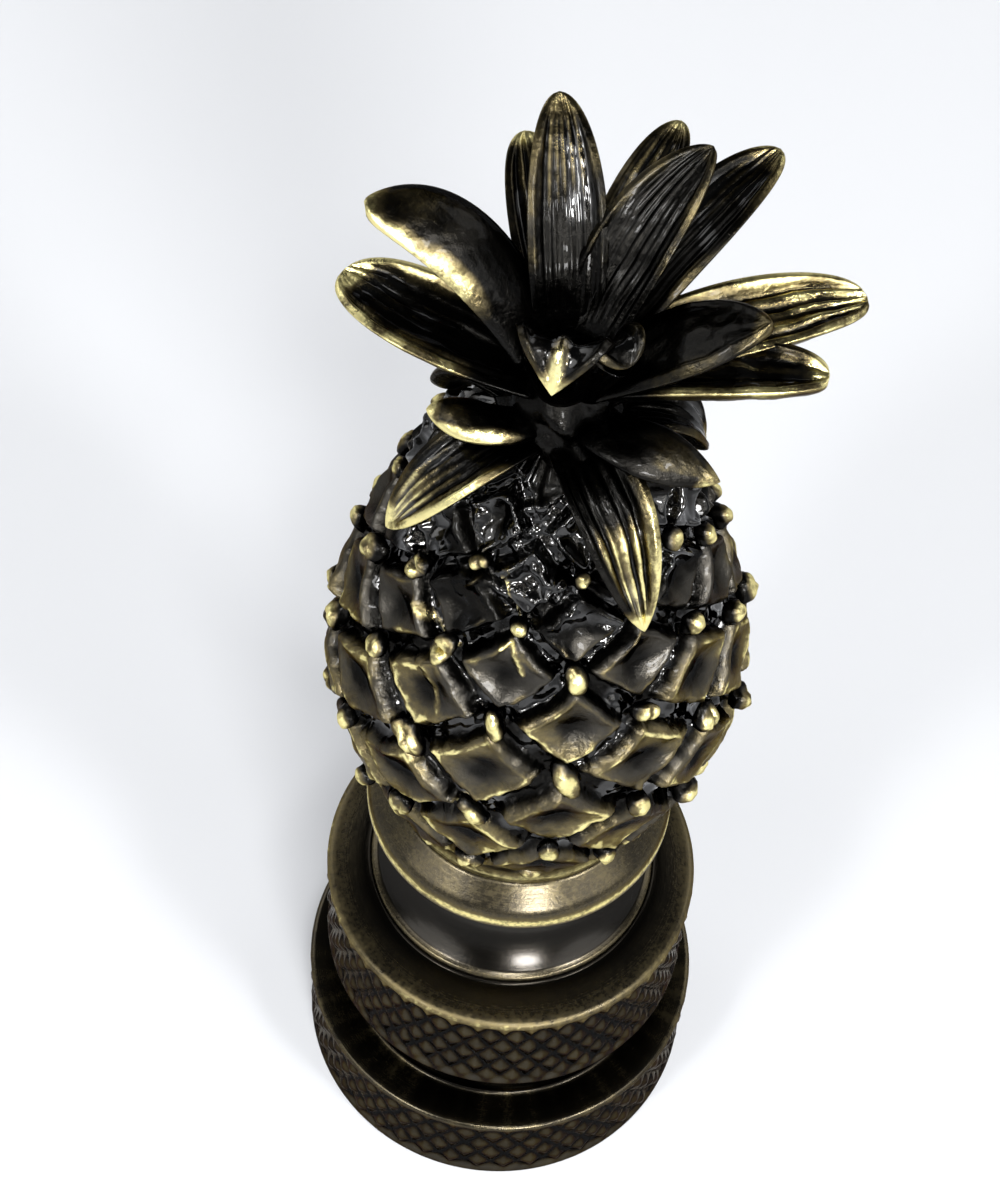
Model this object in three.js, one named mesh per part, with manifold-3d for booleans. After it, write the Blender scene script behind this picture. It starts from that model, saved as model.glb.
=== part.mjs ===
// A pineapple finial: a cast pineapple with a crown of leaves on a turned base with two knurled bands.
// Millimetres, +Z up, origin at the centre of the underside.
import * as THREE from 'three';
import Module from 'manifold-3d';

const wasm = await Module();
wasm.setup();

// Sides of the turned rings
const ROUND_SIDES = 36;

// Knurled bands of the base, from the underside up
const LOWER_BAND_RADIUS = 11.0;
const LOWER_BAND_HEIGHT = 6.7;
const BAND_GAP = 4.0;
const GROOVE_RADIUS = 8.7;
const UPPER_BAND_RADIUS = 10.0;
const UPPER_BAND_HEIGHT = 7.8;
const BAND_CHAMFER = 0.45;
const KNURL_TEETH = 42;
const KNURL_ROWS = 3;
const KNURL_DEPTH = 0.42;

// Shoulder, coved neck and collar
const SHOULDER_RADIUS = 7.6;
const SHOULDER_RISE = 0.5;
const BEAD_RADIUS = 7.3;
const BEAD_RISE = 0.5;
const NECK_RADIUS = 5.3;
const NECK_HEIGHT = 6.7;
const NECK_STEPS = 5;
const COLLAR_RADIUS = 7.85;
const COLLAR_THICKNESS = 1.1;
const COLLAR_ROUNDING = 0.25;
const SEAT_RISE = 1.2;

// Blind hole for the threaded stud
const STUD_HOLE_RADIUS = 3.1;
const STUD_HOLE_DEPTH = 11.0;

// Fruit, which stands in the collar
const SEAT_GAP = 0.3;
const FOOT_RADIUS = 6.5;
const FOOT_HEIGHT = 0.5;
const FRUIT_RADIUS = 9.92;
const FRUIT_HEIGHT = 30.3;

// Rows of tiles. They start at the height of the first bumps and crowd together towards the crown.
const COLUMNS = 8;
const ROWS = 10;
const TILE_ROWS = 8;
const BUMP_ROWS = 8;
const FIRST_ROW_HEIGHT = 1.8;
const ROW_CROWDING = 0.414;
const ROW_TWIST = 1.09;
const FIRST_BUMP_ANGLE = 7.8;
const GROOVE_DEPTH = 0.6;
const DISH_DEPTH = 0.35;
const FRAME_SHARE = 0.2;
const BUMP_RADIUS = 0.7;
const BUMP_STAND = 0.5;
const BUMP_SIDES = 6;
const BUMP_RINGS = [105, 50];

// Crown
const CROWN_REACH = 12.7;
const STEM_RADIUS = 2.6;
const STEM_TOP_RADIUS = 1.7;
const STEM_HEIGHT = 4.8;
const STEM_CAP = 0.8;
const STEM_SIDES = 10;
const LEAF_THICKNESS = 1.3;
const LEAF_EDGE_THICKNESS = 0.35;
const LEAF_CUP = 0.5;
const LEAF_ROOT_SHARE = 0.6;
const LEAF_ROUNDNESS = 0.6;

// Leaves, tier by tier from the fruit up. root, bend and tip are distances from the axis and heights
// above the fruit's top, and they and the widths are shares of the crown's reach. turn and tipTurn are
// the sides that a leaf and its tip point to, in degrees from the front. widest is how far along a leaf
// its full width lies.
const TIERS = [
  {
    root: [0.14, 0.03],
    widest: 0.34,
    leaves: [
      { turn: 26, tipTurn: 33, bend: [0.52, 0.20], tip: [0.65, -0.39], width: 0.33 },
      { turn: 100, tipTurn: 100, bend: [0.43, 0.16], tip: [0.50, -0.17], width: 0.25 },
      { turn: 160, tipTurn: 158, bend: [0.52, 0.17], tip: [0.65, -0.33], width: 0.31 },
      { turn: 212, tipTurn: 206, bend: [0.50, 0.19], tip: [0.63, -0.28], width: 0.30 },
      { turn: -122, tipTurn: -120, bend: [0.41, 0.16], tip: [0.50, -0.20], width: 0.25 },
      { turn: -50, tipTurn: -61, bend: [0.44, 0.13], tip: [0.62, -0.31], width: 0.27 },
    ],
  },
  {
    root: [0.13, 0.13],
    widest: 0.45,
    leaves: [
      { turn: 50, tipTurn: 67, bend: [0.33, 0.25], tip: [0.58, 0.06], width: 0.25 },
      { turn: 118, tipTurn: 118, bend: [0.41, 0.33], tip: [0.66, 0.13], width: 0.27 },
      { turn: 180, tipTurn: 178, bend: [0.41, 0.33], tip: [0.69, 0.11], width: 0.28 },
      { turn: -130, tipTurn: -130, bend: [0.39, 0.33], tip: [0.61, 0.19], width: 0.27 },
      { turn: -45, tipTurn: -72, bend: [0.31, 0.27], tip: [0.46, 0.16], width: 0.22 },
    ],
  },
  {
    root: [0.10, 0.24],
    widest: 0.55,
    leaves: [
      { turn: 88, tipTurn: 90, bend: [0.46, 0.41], tip: [0.83, 0.39], width: 0.25 },
      { turn: 108, tipTurn: 110, bend: [0.50, 0.44], tip: [1.00, 0.38], width: 0.28 },
      { turn: 140, tipTurn: 141, bend: [0.50, 0.58], tip: [0.97, 0.58], width: 0.32 },
      { turn: 163, tipTurn: 162, bend: [0.47, 0.50], tip: [0.91, 0.54], width: 0.25 },
      { turn: -163, tipTurn: -163, bend: [0.43, 0.50], tip: [0.78, 0.54], width: 0.23 },
      { turn: -96, tipTurn: -110, bend: [0.44, 0.35], tip: [0.81, 0.30], width: 0.36 },
    ],
  },
  {
    root: [0.08, 0.30],
    widest: 0.6,
    leaves: [
      { turn: -6, tipTurn: -7, bend: [0.19, 0.90], tip: [0.32, 0.54], width: 0.31 },
      { turn: 40, tipTurn: 44, bend: [0.19, 0.76], tip: [0.28, 0.58], width: 0.20 },
      { turn: 84, tipTurn: 82, bend: [0.33, 0.61], tip: [0.61, 0.73], width: 0.35 },
      { turn: 151, tipTurn: 142, bend: [0.30, 0.69], tip: [0.61, 0.86], width: 0.33 },
      { turn: -171, tipTurn: -169, bend: [0.28, 0.69], tip: [0.65, 0.86], width: 0.29 },
      { turn: -122, tipTurn: -105, bend: [0.41, 0.80], tip: [0.71, 0.76], width: 0.30 },
    ],
  },
];

// Heights that follow from the sizes above
const UPPER_BAND_Z = LOWER_BAND_HEIGHT + BAND_GAP;
const SHOULDER_Z = UPPER_BAND_Z + UPPER_BAND_HEIGHT;
const BEAD_Z = SHOULDER_Z + SHOULDER_RISE;
const NECK_Z = BEAD_Z + BEAD_RISE;
const COLLAR_Z = NECK_Z + NECK_HEIGHT;
const SEAT_Z = COLLAR_Z + COLLAR_THICKNESS + SEAT_RISE;
const FRUIT_Z = SEAT_Z + SEAT_GAP;
const CROWN_Z = FRUIT_Z + FRUIT_HEIGHT;

// Finishes: dark antique brass, glossy on the casting and satin on the turned base
const castBrass = new THREE.MeshStandardMaterial({ color: 0x4a3b22, roughness: 0.35, metalness: 0.95 });
const turnedBrass = new THREE.MeshStandardMaterial({ color: 0x5b4a33, roughness: 0.45, metalness: 0.95 });

const radians = THREE.MathUtils.degToRad;
const { lerp, euclideanModulo } = THREE.MathUtils;

// A point at a distance from the axis, an angle from the front and a height.
function around(radius, degrees, z) {
  const a = radians(degrees);
  return new THREE.Vector3(radius * Math.sin(a), -radius * Math.cos(a), z);
}

// A level ring of evenly spaced points, or one point where it lies on the axis.
function circle(radius, z, count = ROUND_SIDES) {
  if (radius === 0) return [new THREE.Vector3(0, 0, z)];
  return Array.from({ length: count }, (_, i) => around(radius, (360 * i) / count, z));
}

function surface(points, triangles) {
  const geometry = new THREE.BufferGeometry();
  const flat = points.flatMap((p) => [p.x, p.y, p.z]);
  geometry.setAttribute('position', new THREE.Float32BufferAttribute(flat, 3));
  geometry.setIndex(triangles.flat());
  return geometry;
}

function solid(geometry) {
  const vertProperties = new Float32Array(geometry.attributes.position.array);
  const triVerts = new Uint32Array(geometry.index.array);
  const mesh = new wasm.Mesh({ numProp: 3, vertProperties, triVerts });
  return new wasm.Manifold(mesh);
}

function named(name, manifold, material) {
  const { vertProperties, triVerts } = manifold.getMesh();
  const geometry = new THREE.BufferGeometry();
  geometry.setAttribute('position', new THREE.BufferAttribute(new Float32Array(vertProperties), 3));
  geometry.setIndex(new THREE.BufferAttribute(new Uint32Array(triVerts), 1));
  geometry.computeVertexNormals();
  const mesh = new THREE.Mesh(geometry, material);
  mesh.name = name;
  return mesh;
}

// Joins rings of points, first to last, into one closed skin. A ring of one point closes an end.
// Where two ways to cross a quad are open, the one nearer the axis is taken, so knurls stay sharp.
function ringSkin(rings) {
  const points = rings.flat();
  const triangles = [];
  const reach = (index) => Math.hypot(points[index].x, points[index].y);
  let start = 0;
  for (let r = 0; r + 1 < rings.length; r += 1) {
    const low = rings[r].length;
    const high = rings[r + 1].length;
    const first = start;
    const a = (i) => first + (i % low);
    const b = (j) => first + low + (j % high);
    const lowSteps = low === 1 ? 0 : low;
    const highSteps = high === 1 ? 0 : high;
    let i = 0;
    let j = 0;
    while (i < lowSteps || j < highSteps) {
      const lead = (i + 1) * highSteps - (j + 1) * lowSteps;
      const nearer = reach(a(i + 1)) + reach(b(j)) < reach(a(i)) + reach(b(j + 1));
      if (j === highSteps || (i < lowSteps && (lead < 0 || (lead === 0 && nearer)))) {
        triangles.push([a(i), a(i + 1), b(j)]);
        i += 1;
      } else {
        triangles.push([a(i), b(j + 1), b(j)]);
        j += 1;
      }
    }
    start += low;
  }
  return surface(points, triangles);
}

// One ring of a knurled band: teeth and the valleys between them, staggered from row to row.
function toothRing(radius, z, row) {
  return Array.from({ length: 2 * KNURL_TEETH }, (_, i) => {
    const valley = (i + row) % 2 === 1;
    return around(valley ? radius - KNURL_DEPTH : radius, (180 * i) / KNURL_TEETH, z);
  });
}

function knurledBand(radius, bottom, height) {
  const rings = [circle(radius - BAND_CHAMFER, bottom)];
  for (let row = 0; row <= KNURL_ROWS; row += 1) {
    const z = lerp(bottom + BAND_CHAMFER, bottom + height - BAND_CHAMFER, row / KNURL_ROWS);
    rings.push(toothRing(radius, z, row));
  }
  rings.push(circle(radius - BAND_CHAMFER, bottom + height));
  return rings;
}

// The cove between the bead and the collar, narrowest half-way up.
function neck() {
  const flare = COLLAR_RADIUS - COLLAR_ROUNDING;
  const cove = (BEAD_RADIUS + flare) / 2 - NECK_RADIUS;
  return Array.from({ length: NECK_STEPS + 1 }, (_, i) => {
    const share = i / NECK_STEPS;
    const radius = lerp(BEAD_RADIUS, flare, share) - cove * Math.sin(Math.PI * share);
    return circle(radius, NECK_Z + NECK_HEIGHT * share);
  });
}

function knurledBase() {
  return ringSkin([
    circle(0, STUD_HOLE_DEPTH),
    circle(STUD_HOLE_RADIUS, STUD_HOLE_DEPTH),
    circle(STUD_HOLE_RADIUS, 0),
    ...knurledBand(LOWER_BAND_RADIUS, 0, LOWER_BAND_HEIGHT),
    circle(GROOVE_RADIUS, LOWER_BAND_HEIGHT),
    circle(GROOVE_RADIUS, UPPER_BAND_Z),
    ...knurledBand(UPPER_BAND_RADIUS, UPPER_BAND_Z, UPPER_BAND_HEIGHT),
    circle(SHOULDER_RADIUS, BEAD_Z),
    ...neck(),
    circle(COLLAR_RADIUS, COLLAR_Z + COLLAR_THICKNESS / 2),
    circle(COLLAR_RADIUS - COLLAR_ROUNDING, COLLAR_Z + COLLAR_THICKNESS),
    circle(FOOT_RADIUS, SEAT_Z),
    circle(0, SEAT_Z),
  ]);
}

// Outline of the fruit: shares of its radius against shares of its height.
const OUTLINE_STEPS = 240;
const fruitOutline = new THREE.SplineCurve([
  new THREE.Vector2(0.60 * FRUIT_RADIUS, 0),
  new THREE.Vector2(0.69 * FRUIT_RADIUS, 0.066 * FRUIT_HEIGHT),
  new THREE.Vector2(0.868 * FRUIT_RADIUS, 0.19 * FRUIT_HEIGHT),
  new THREE.Vector2(FRUIT_RADIUS, 0.425 * FRUIT_HEIGHT),
  new THREE.Vector2(0.89 * FRUIT_RADIUS, 0.615 * FRUIT_HEIGHT),
  new THREE.Vector2(0.71 * FRUIT_RADIUS, 0.775 * FRUIT_HEIGHT),
  new THREE.Vector2(0.53 * FRUIT_RADIUS, 0.915 * FRUIT_HEIGHT),
  new THREE.Vector2(0.35 * FRUIT_RADIUS, FRUIT_HEIGHT),
]).getPoints(OUTLINE_STEPS);

// Where the outline is at a height above the foot, and which way it faces there.
function outlineAt(height) {
  const above = fruitOutline.findIndex((p, i) => i > 0 && p.y >= height);
  const high = fruitOutline[above > 0 ? above : fruitOutline.length - 1];
  const low = fruitOutline[(above > 0 ? above : fruitOutline.length - 1) - 1];
  const along = high.clone().sub(low).normalize();
  return { radius: lerp(low.x, high.x, (height - low.y) / (high.y - low.y)), out: along.y, up: -along.x };
}

function rowHeight(row) {
  const share = row / ROWS;
  return FIRST_ROW_HEIGHT + (FRUIT_HEIGHT - FIRST_ROW_HEIGHT) * share * (1 + ROW_CROWDING * (1 - share));
}

// A point on the fruit at a row and a side step, both counted in half tiles, raised off the skin.
function onFruit(row, side, raised) {
  const height = rowHeight(row);
  const { radius, out, up } = outlineAt(height);
  const degrees = FIRST_BUMP_ANGLE + (180 / COLUMNS) * side + ROW_TWIST * row;
  return around(radius + out * raised, degrees, FRUIT_Z + height + up * raised);
}

// The skin is a diamond net whose threads run up to the right and up to the left. Along both of its
// edges a tile takes three net steps: a groove, then the frame, the dish and the frame again.
const NET = 3;
const NET_STOPS = [0, FRAME_SHARE, 1 - FRAME_SHARE];
const NET_TOP = NET * TILE_ROWS;
const NET_TURN = NET * COLUMNS;

function netPlace(step) {
  return Math.floor(step / NET) + NET_STOPS[euclideanModulo(step, NET)];
}

function inGroove(right, left) {
  return euclideanModulo(right, NET) === 0 || euclideanModulo(left, NET) === 0;
}

function fruitSkin() {
  const points = [];
  const placed = new Map();
  const lay = (point) => points.push(point) - 1;
  const at = (right, left) => {
    const key = `${right + left} ${euclideanModulo(right - left, 2 * NET_TURN)}`;
    if (!placed.has(key)) {
      const [a, b] = [netPlace(right), netPlace(left)];
      placed.set(key, lay(onFruit(a + b, a - b, inGroove(right, left) ? -GROOVE_DEPTH : 0)));
    }
    return placed.get(key);
  };
  const triangles = [];
  const footRing = [];
  const topRing = [];
  for (let sum = 0; sum < NET_TOP; sum += 1) {
    for (let n = 0; n < NET_TURN; n += 1) {
      const right = sum + n;
      const left = -n;
      const [bottom, rightward, leftward] = [at(right, left), at(right + 1, left), at(right, left + 1)];
      if (sum === 0) {
        footRing.push(bottom);
        triangles.push([bottom, at(right + 1, left - 1), rightward]);
      }
      if (sum + 1 === NET_TOP) {
        topRing.push(rightward);
        triangles.push([bottom, rightward, leftward]);
        continue;
      }
      const top = at(right + 1, left + 1);
      if (euclideanModulo(right, NET) === 1 && euclideanModulo(left, NET) === 1) {
        const middle = lay(onFruit(Math.floor(right / NET) + Math.floor(left / NET) + 1,
          Math.floor(right / NET) - Math.floor(left / NET), -DISH_DEPTH));
        triangles.push([bottom, rightward, middle], [rightward, top, middle]);
        triangles.push([top, leftward, middle], [leftward, bottom, middle]);
      } else if (inGroove(right + 1, left) === inGroove(right, left + 1)) {
        triangles.push([bottom, rightward, leftward], [rightward, top, leftward]);
      } else {
        triangles.push([bottom, rightward, top], [bottom, top, leftward]);
      }
    }
  }
  return { points, triangles, footRing, topRing };
}

// Closes the net with the foot below and a brow that runs in to the stem above.
function fruit() {
  const { points, triangles, footRing, topRing } = fruitSkin();
  const lay = (point) => points.push(point) - 1;
  const ringAt = (indices, radius, z) => indices.map((index) => {
    const scale = radius / Math.hypot(points[index].x, points[index].y);
    return lay(new THREE.Vector3(points[index].x * scale, points[index].y * scale, z));
  });
  const flare = ringAt(footRing, FOOT_RADIUS, FRUIT_Z + FOOT_HEIGHT);
  const sole = ringAt(footRing, FOOT_RADIUS, FRUIT_Z);
  const soleCentre = lay(new THREE.Vector3(0, 0, FRUIT_Z));
  const brow = ringAt(topRing, STEM_RADIUS, CROWN_Z);
  const topCentre = lay(new THREE.Vector3(0, 0, CROWN_Z));
  for (let i = 0; i < NET_TURN; i += 1) {
    const next = (i + 1) % NET_TURN;
    triangles.push([soleCentre, sole[next], sole[i]], [brow[i], brow[next], topCentre]);
    for (const [low, high] of [[sole, flare], [flare, footRing], [topRing, brow]]) {
      triangles.push([low[i], low[next], high[next]], [low[i], high[next], high[i]]);
    }
  }
  return surface(points, triangles);
}

// A bump at a crossing of the grooves: a dome that faces away from the skin. Its rings are given in
// degrees down from its top.
function bump(row, side) {
  const centre = onFruit(row, side, BUMP_STAND - BUMP_RADIUS);
  const outward = onFruit(row, side, 1).sub(onFruit(row, side, 0));
  const turn = new THREE.Quaternion().setFromUnitVectors(new THREE.Vector3(0, 0, 1), outward);
  const ringDown = (degrees) => circle(
    BUMP_RADIUS * Math.sin(radians(degrees)),
    BUMP_RADIUS * Math.cos(radians(degrees)),
    BUMP_SIDES,
  );
  const rings = [circle(0, -BUMP_RADIUS), ...BUMP_RINGS.map(ringDown), circle(0, BUMP_RADIUS)];
  return ringSkin(rings.map((ring) => ring.map((p) => p.applyQuaternion(turn).add(centre))));
}

function stem() {
  return ringSkin([
    circle(0, CROWN_Z - STEM_HEIGHT, STEM_SIDES),
    circle(STEM_RADIUS, CROWN_Z - STEM_HEIGHT / 2, STEM_SIDES),
    circle(STEM_RADIUS, CROWN_Z, STEM_SIDES),
    circle(STEM_TOP_RADIUS, CROWN_Z + STEM_HEIGHT - STEM_CAP, STEM_SIDES),
    circle(0, CROWN_Z + STEM_HEIGHT, STEM_SIDES),
  ]);
}

// Width of a leaf along its length, as a share of its full width: narrow root, broad middle, round tip.
function leafShape(along, widest) {
  const opening = Math.sin((Math.PI / 2) * Math.min(1, along / widest));
  const past = Math.max(0, (along - widest) / (1 - widest));
  return lerp(LEAF_ROOT_SHARE, 1, opening) * Math.pow(1 - past * past, LEAF_ROUNDNESS);
}

const LEAF_STATIONS = [0, 0.24, 0.52, 0.8, 0.96];
const LEAF_SIDES = [1, 0.5, 0, -0.5, -1];
const KEEL_SIDES = [-0.4, 0.4];

// A leaf: a cupped, lens-shaped section with a flat keel, carried from root to tip along its bend.
function leaf(tier, { turn, tipTurn, bend, tip, width }) {
  const inCrown = ([out, up], degrees) => around(out * CROWN_REACH, degrees, CROWN_Z + up * CROWN_REACH);
  const path = new THREE.QuadraticBezierCurve3(
    inCrown(tier.root, turn),
    inCrown(bend, turn),
    inCrown(tip, tipTurn),
  );
  const sideways = new THREE.Vector3(Math.cos(radians(turn)), Math.sin(radians(turn)), 0);
  const rings = LEAF_STATIONS.map((along) => {
    const middle = path.getPoint(along);
    const forward = path.getTangent(along);
    const face = forward.clone().cross(sideways).normalize();
    const across = face.clone().cross(forward);
    const share = leafShape(along, tier.widest);
    const thick = lerp(LEAF_EDGE_THICKNESS, LEAF_THICKNESS, share);
    const place = (side, raised) => middle.clone()
      .addScaledVector(across, (side * share * width * CROWN_REACH) / 2)
      .addScaledVector(face, raised);
    const rise = (side) => LEAF_CUP * share * side * side;
    const upper = (side) => place(side, rise(side));
    const lower = (side) => place(side, rise(side) - lerp(thick, LEAF_EDGE_THICKNESS, side * side));
    return [...LEAF_SIDES.map(upper), ...KEEL_SIDES.map(lower)];
  });
  return ringSkin([[path.getPoint(0)], ...rings, [path.getPoint(1)]]);
}

function pineapple() {
  let whole = solid(fruit()).add(solid(stem()));
  for (const tier of TIERS) {
    for (const one of tier.leaves) whole = whole.add(solid(leaf(tier, one)));
  }
  for (let row = 0; row < BUMP_ROWS; row += 1) {
    for (let n = 0; n < COLUMNS; n += 1) whole = whole.add(solid(bump(row, 2 * n + (row % 2))));
  }
  return whole;
}

const finial = new THREE.Group();
finial.add(named('knurled_base', solid(knurledBase()), turnedBrass));
finial.add(named('pineapple', pineapple(), castBrass));
export default finial;
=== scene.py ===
"""Antique brass pineapple finial: the cast fruit, its bumps, its crown of leaves and its knurled base.

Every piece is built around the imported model, in metres, with +Z up and the photographed side towards -Y.
"""

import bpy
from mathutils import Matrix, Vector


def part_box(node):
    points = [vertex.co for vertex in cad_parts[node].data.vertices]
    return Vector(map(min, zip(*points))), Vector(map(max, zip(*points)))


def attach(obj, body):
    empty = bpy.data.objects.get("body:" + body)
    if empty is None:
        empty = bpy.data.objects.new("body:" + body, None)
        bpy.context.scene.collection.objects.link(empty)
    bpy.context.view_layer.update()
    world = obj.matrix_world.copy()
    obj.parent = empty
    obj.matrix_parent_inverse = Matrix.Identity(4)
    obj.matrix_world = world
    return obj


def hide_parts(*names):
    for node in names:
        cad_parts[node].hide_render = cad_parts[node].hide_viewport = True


bl_info = {
    "name": "Pineapple Finial",
    "version": (1, 0, 0),
    "blender": (4, 5, 0),
    "location": "View3D > Sidebar > Finial",
    "description": "Builds a cast pineapple finial on a turned and knurled base",
    "category": "Add Mesh",
}

import math
from dataclasses import dataclass

import bpy
import numpy as np
from bpy.props import FloatProperty, FloatVectorProperty, IntProperty, PointerProperty
from mathutils import Matrix, Vector

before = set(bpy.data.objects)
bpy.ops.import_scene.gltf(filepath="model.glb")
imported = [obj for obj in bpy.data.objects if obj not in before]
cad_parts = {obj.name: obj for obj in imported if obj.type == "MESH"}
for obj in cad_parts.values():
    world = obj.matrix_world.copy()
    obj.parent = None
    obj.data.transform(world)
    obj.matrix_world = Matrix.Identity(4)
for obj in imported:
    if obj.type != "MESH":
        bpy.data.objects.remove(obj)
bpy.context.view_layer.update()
BASE_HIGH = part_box("knurled_base")[1]
FRUIT_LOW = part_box("pineapple")[0]

MM = 0.001


def length(name, description, millimetres):
    """A length that the panel shows in the scene's units."""
    return FloatProperty(
        name=name, description=description, default=millimetres * MM, min=0.0, precision=5, unit="LENGTH"
    )


def colour(name, description, red, green, blue):
    """A linear colour that the panel shows as a swatch."""
    return FloatVectorProperty(
        name=name, description=description, default=(red, green, blue), min=0.0, max=1.0, subtype="COLOR"
    )


class FinialBaseSizes(bpy.types.PropertyGroup):
    """Sizes of the turned base, from the underside up."""

    lower_band_radius: length("Lower band radius", "Radius of the wide knurled band", BASE_HIGH.x / MM)
    lower_band_height: length("Lower band height", "Height of the wide knurled band", 6.7)
    band_gap: length("Band gap", "Height of the groove between the two bands", 4.0)
    groove_radius: length("Groove radius", "Radius of the groove between the two bands", 8.7)
    upper_band_radius: length("Upper band radius", "Radius of the narrow knurled band", 10.0)
    upper_band_height: length("Upper band height", "Height of the narrow knurled band", 7.8)
    band_rounding: length("Band rounding", "Rounding of the bands' edges", 0.35)
    knurl_depth: length("Knurl depth", "Depth of the cuts between the knurls", 0.28)
    knurl_pitch: length("Knurl pitch", "Height of one whole diamond of the knurling", 2.56)
    knurl_teeth: IntProperty(name="Knurl teeth", description="Diamonds around each band", default=44, min=8)
    shoulder_radius: length("Shoulder radius", "Where the shoulder meets the bead under the neck", 7.66)
    shoulder_rise: length("Shoulder rise", "How far the shoulder climbs to the bead", 0.5)
    bead_radius: length("Bead radius", "Radius of the bead under the neck", 7.3)
    bead_rise: length("Bead rise", "Height of the bead under the neck", 0.5)
    neck_radius: length("Neck radius", "Radius of the neck where it is narrowest", 5.3)
    neck_height: length("Neck height", "Height of the coved neck", 6.7)
    collar_radius: length("Collar radius", "Radius of the collar's rolled rim", 7.85)
    collar_height: length("Collar height", "Height of the collar's rolled rim", 1.1)
    seat_radius: length("Seat radius", "Radius of the seat that the fruit stands on", 6.5)
    hole_radius: length("Stud hole radius", "Radius of the blind hole in the underside", 3.1)
    hole_depth: length("Stud hole depth", "Depth of the blind hole in the underside", 11.0)


class FinialFruitSizes(bpy.types.PropertyGroup):
    """Sizes of the fruit and of the relief on it."""

    radius: length("Radius", "Largest radius of the fruit, over its frames", 9.92)
    height: length("Height", "Height from the foot to the crown", 30.3)
    foot_radius: length("Foot radius", "Radius of the small step at the foot", 6.5)
    foot_height: length("Foot height", "Height of the small step at the foot", 0.8)
    groove_depth: length("Groove depth", "Depth of the grooves between the tiles", 0.8)
    dish_depth: length("Dish depth", "How far a tile's middle sinks below its frame", 0.42)
    frame_rise: length("Frame rise", "Height of the thin lip on a tile's frame", 0.09)
    roughness: length("Unevenness", "Height of the casting's own swells", 0.06)
    lump_height: length("Lump height", "Height of the lumps of metal left by the casting", 0.34)
    bump_radius: length("Bump radius", "Radius of a bump where grooves cross", 0.66)
    bump_stand: length("Bump stand", "How far a bump stands out of the frames", 0.55)


class FinialCrownSizes(bpy.types.PropertyGroup):
    """Sizes of the crown and its leaves."""

    reach: length("Reach", "Distance of the farthest leaf tip from the axis", 12.7)
    stem_radius: length("Stem radius", "Radius of the stem that the leaves grow from", 2.6)
    stem_height: length("Stem height", "Height of the stem above the fruit", 4.8)
    leaf_thickness: length("Leaf thickness", "Thickness of a leaf along its middle", 1.3)
    edge_thickness: length("Edge thickness", "Thickness of a leaf at its edge", 0.45)
    cup: length("Cup", "How far a leaf's edges rise above its middle", 0.5)
    rib_depth: length("Rib depth", "Depth of the lines engraved along a leaf", 0.16)
    rim_height: length("Rim height", "Height of the rolled rim along a leaf's edge", 0.12)
    keel_height: length("Keel height", "Height of the ridge along the front leaf's middle", 0.3)


class FinialFinish(bpy.types.PropertyGroup):
    """Colours of the metal and of the studio floor."""

    recess: colour("Recess", "Lacquer-black bronze deep in the casting", 0.0075, 0.0071, 0.0064)
    bronze: colour("Bronze", "Dark bronze on the casting's open faces", 0.052, 0.048, 0.041)
    # On the turned base, umber and gilt also show the painted sheen on the shoulder and the throat
    umber: colour("Umber", "Brown that shows where the bronze is half worn", 0.160, 0.128, 0.062)
    gilt: colour("Gilt", "Pale gold where the casting is worn bright", 0.88, 0.78, 0.36)
    satin: colour("Satin", "Brown of the turned base", 0.042, 0.037, 0.029)
    satin_dark: colour("Satin dark", "Dark bronze in the cuts and on the neck", 0.015, 0.013, 0.010)
    floor: colour("Floor", "Pale floor and backdrop", 0.58, 0.59, 0.61)


class FinialSettings(bpy.types.PropertyGroup):
    """Everything that can be changed on the finial."""

    base: PointerProperty(type=FinialBaseSizes)
    fruit: PointerProperty(type=FinialFruitSizes)
    crown: PointerProperty(type=FinialCrownSizes)
    finish: PointerProperty(type=FinialFinish)


# Meshes

RIPPLE_WAVES = 9


def smooth(low, high, value):
    """0 at low, 1 at high, an S curve between and level beyond. Low may be the larger of the two."""
    share = np.clip((value - low) / (high - low), 0.0, 1.0)
    return share * share * (3.0 - 2.0 * share)


def line_at(value, middle, width):
    """1 where value is at the middle, falling off to either side over the width."""
    return np.exp(-(((value - middle) / width) ** 2))


def mix(first, second, share):
    return first + (second - first) * share


def ripple(points, size, seed):
    """Smooth random swells, mostly from -1 to 1, each about `size` millimetres across."""
    random = np.random.default_rng(seed)
    total = np.zeros(points.shape[:-1])
    for _ in range(RIPPLE_WAVES):
        direction = random.normal(size=3)
        direction *= 2.0 * math.pi * random.uniform(0.6, 1.5) / (size * MM * np.linalg.norm(direction))
        total += np.sin(points @ direction + random.uniform(0.0, 2.0 * math.pi))
    return total / math.sqrt(RIPPLE_WAVES)


def around(radius, degrees, z):
    """Points at a distance from the axis, an angle from the front and a height."""
    turn = np.radians(degrees)
    return np.stack(np.broadcast_arrays(radius * np.sin(turn), -radius * np.cos(turn), z), axis=-1)


def grid_faces(rows, columns):
    """Quads over a grid of points laid out row by row, closed around each row."""
    row = np.arange(rows - 1)[:, None]
    column = np.arange(columns)[None, :]
    after = (column + 1) % columns
    corners = (row * columns + column, row * columns + after, (row + 1) * columns + after)
    return np.stack([*corners, (row + 1) * columns + column], axis=-1).reshape(-1, 4)


def fan_faces(ring, centre, flip=False):
    """Triangles from a closed ring of point numbers to one point."""
    after = np.roll(ring, -1)
    first, second = (after, ring) if flip else (ring, after)
    return np.stack([first, second, np.full(len(ring), centre)], axis=-1)


def ring_faces(lower, upper):
    """Quads between two closed rings of point numbers."""
    return np.stack([lower, np.roll(lower, -1), np.roll(upper, -1), upper], axis=-1)


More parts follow.
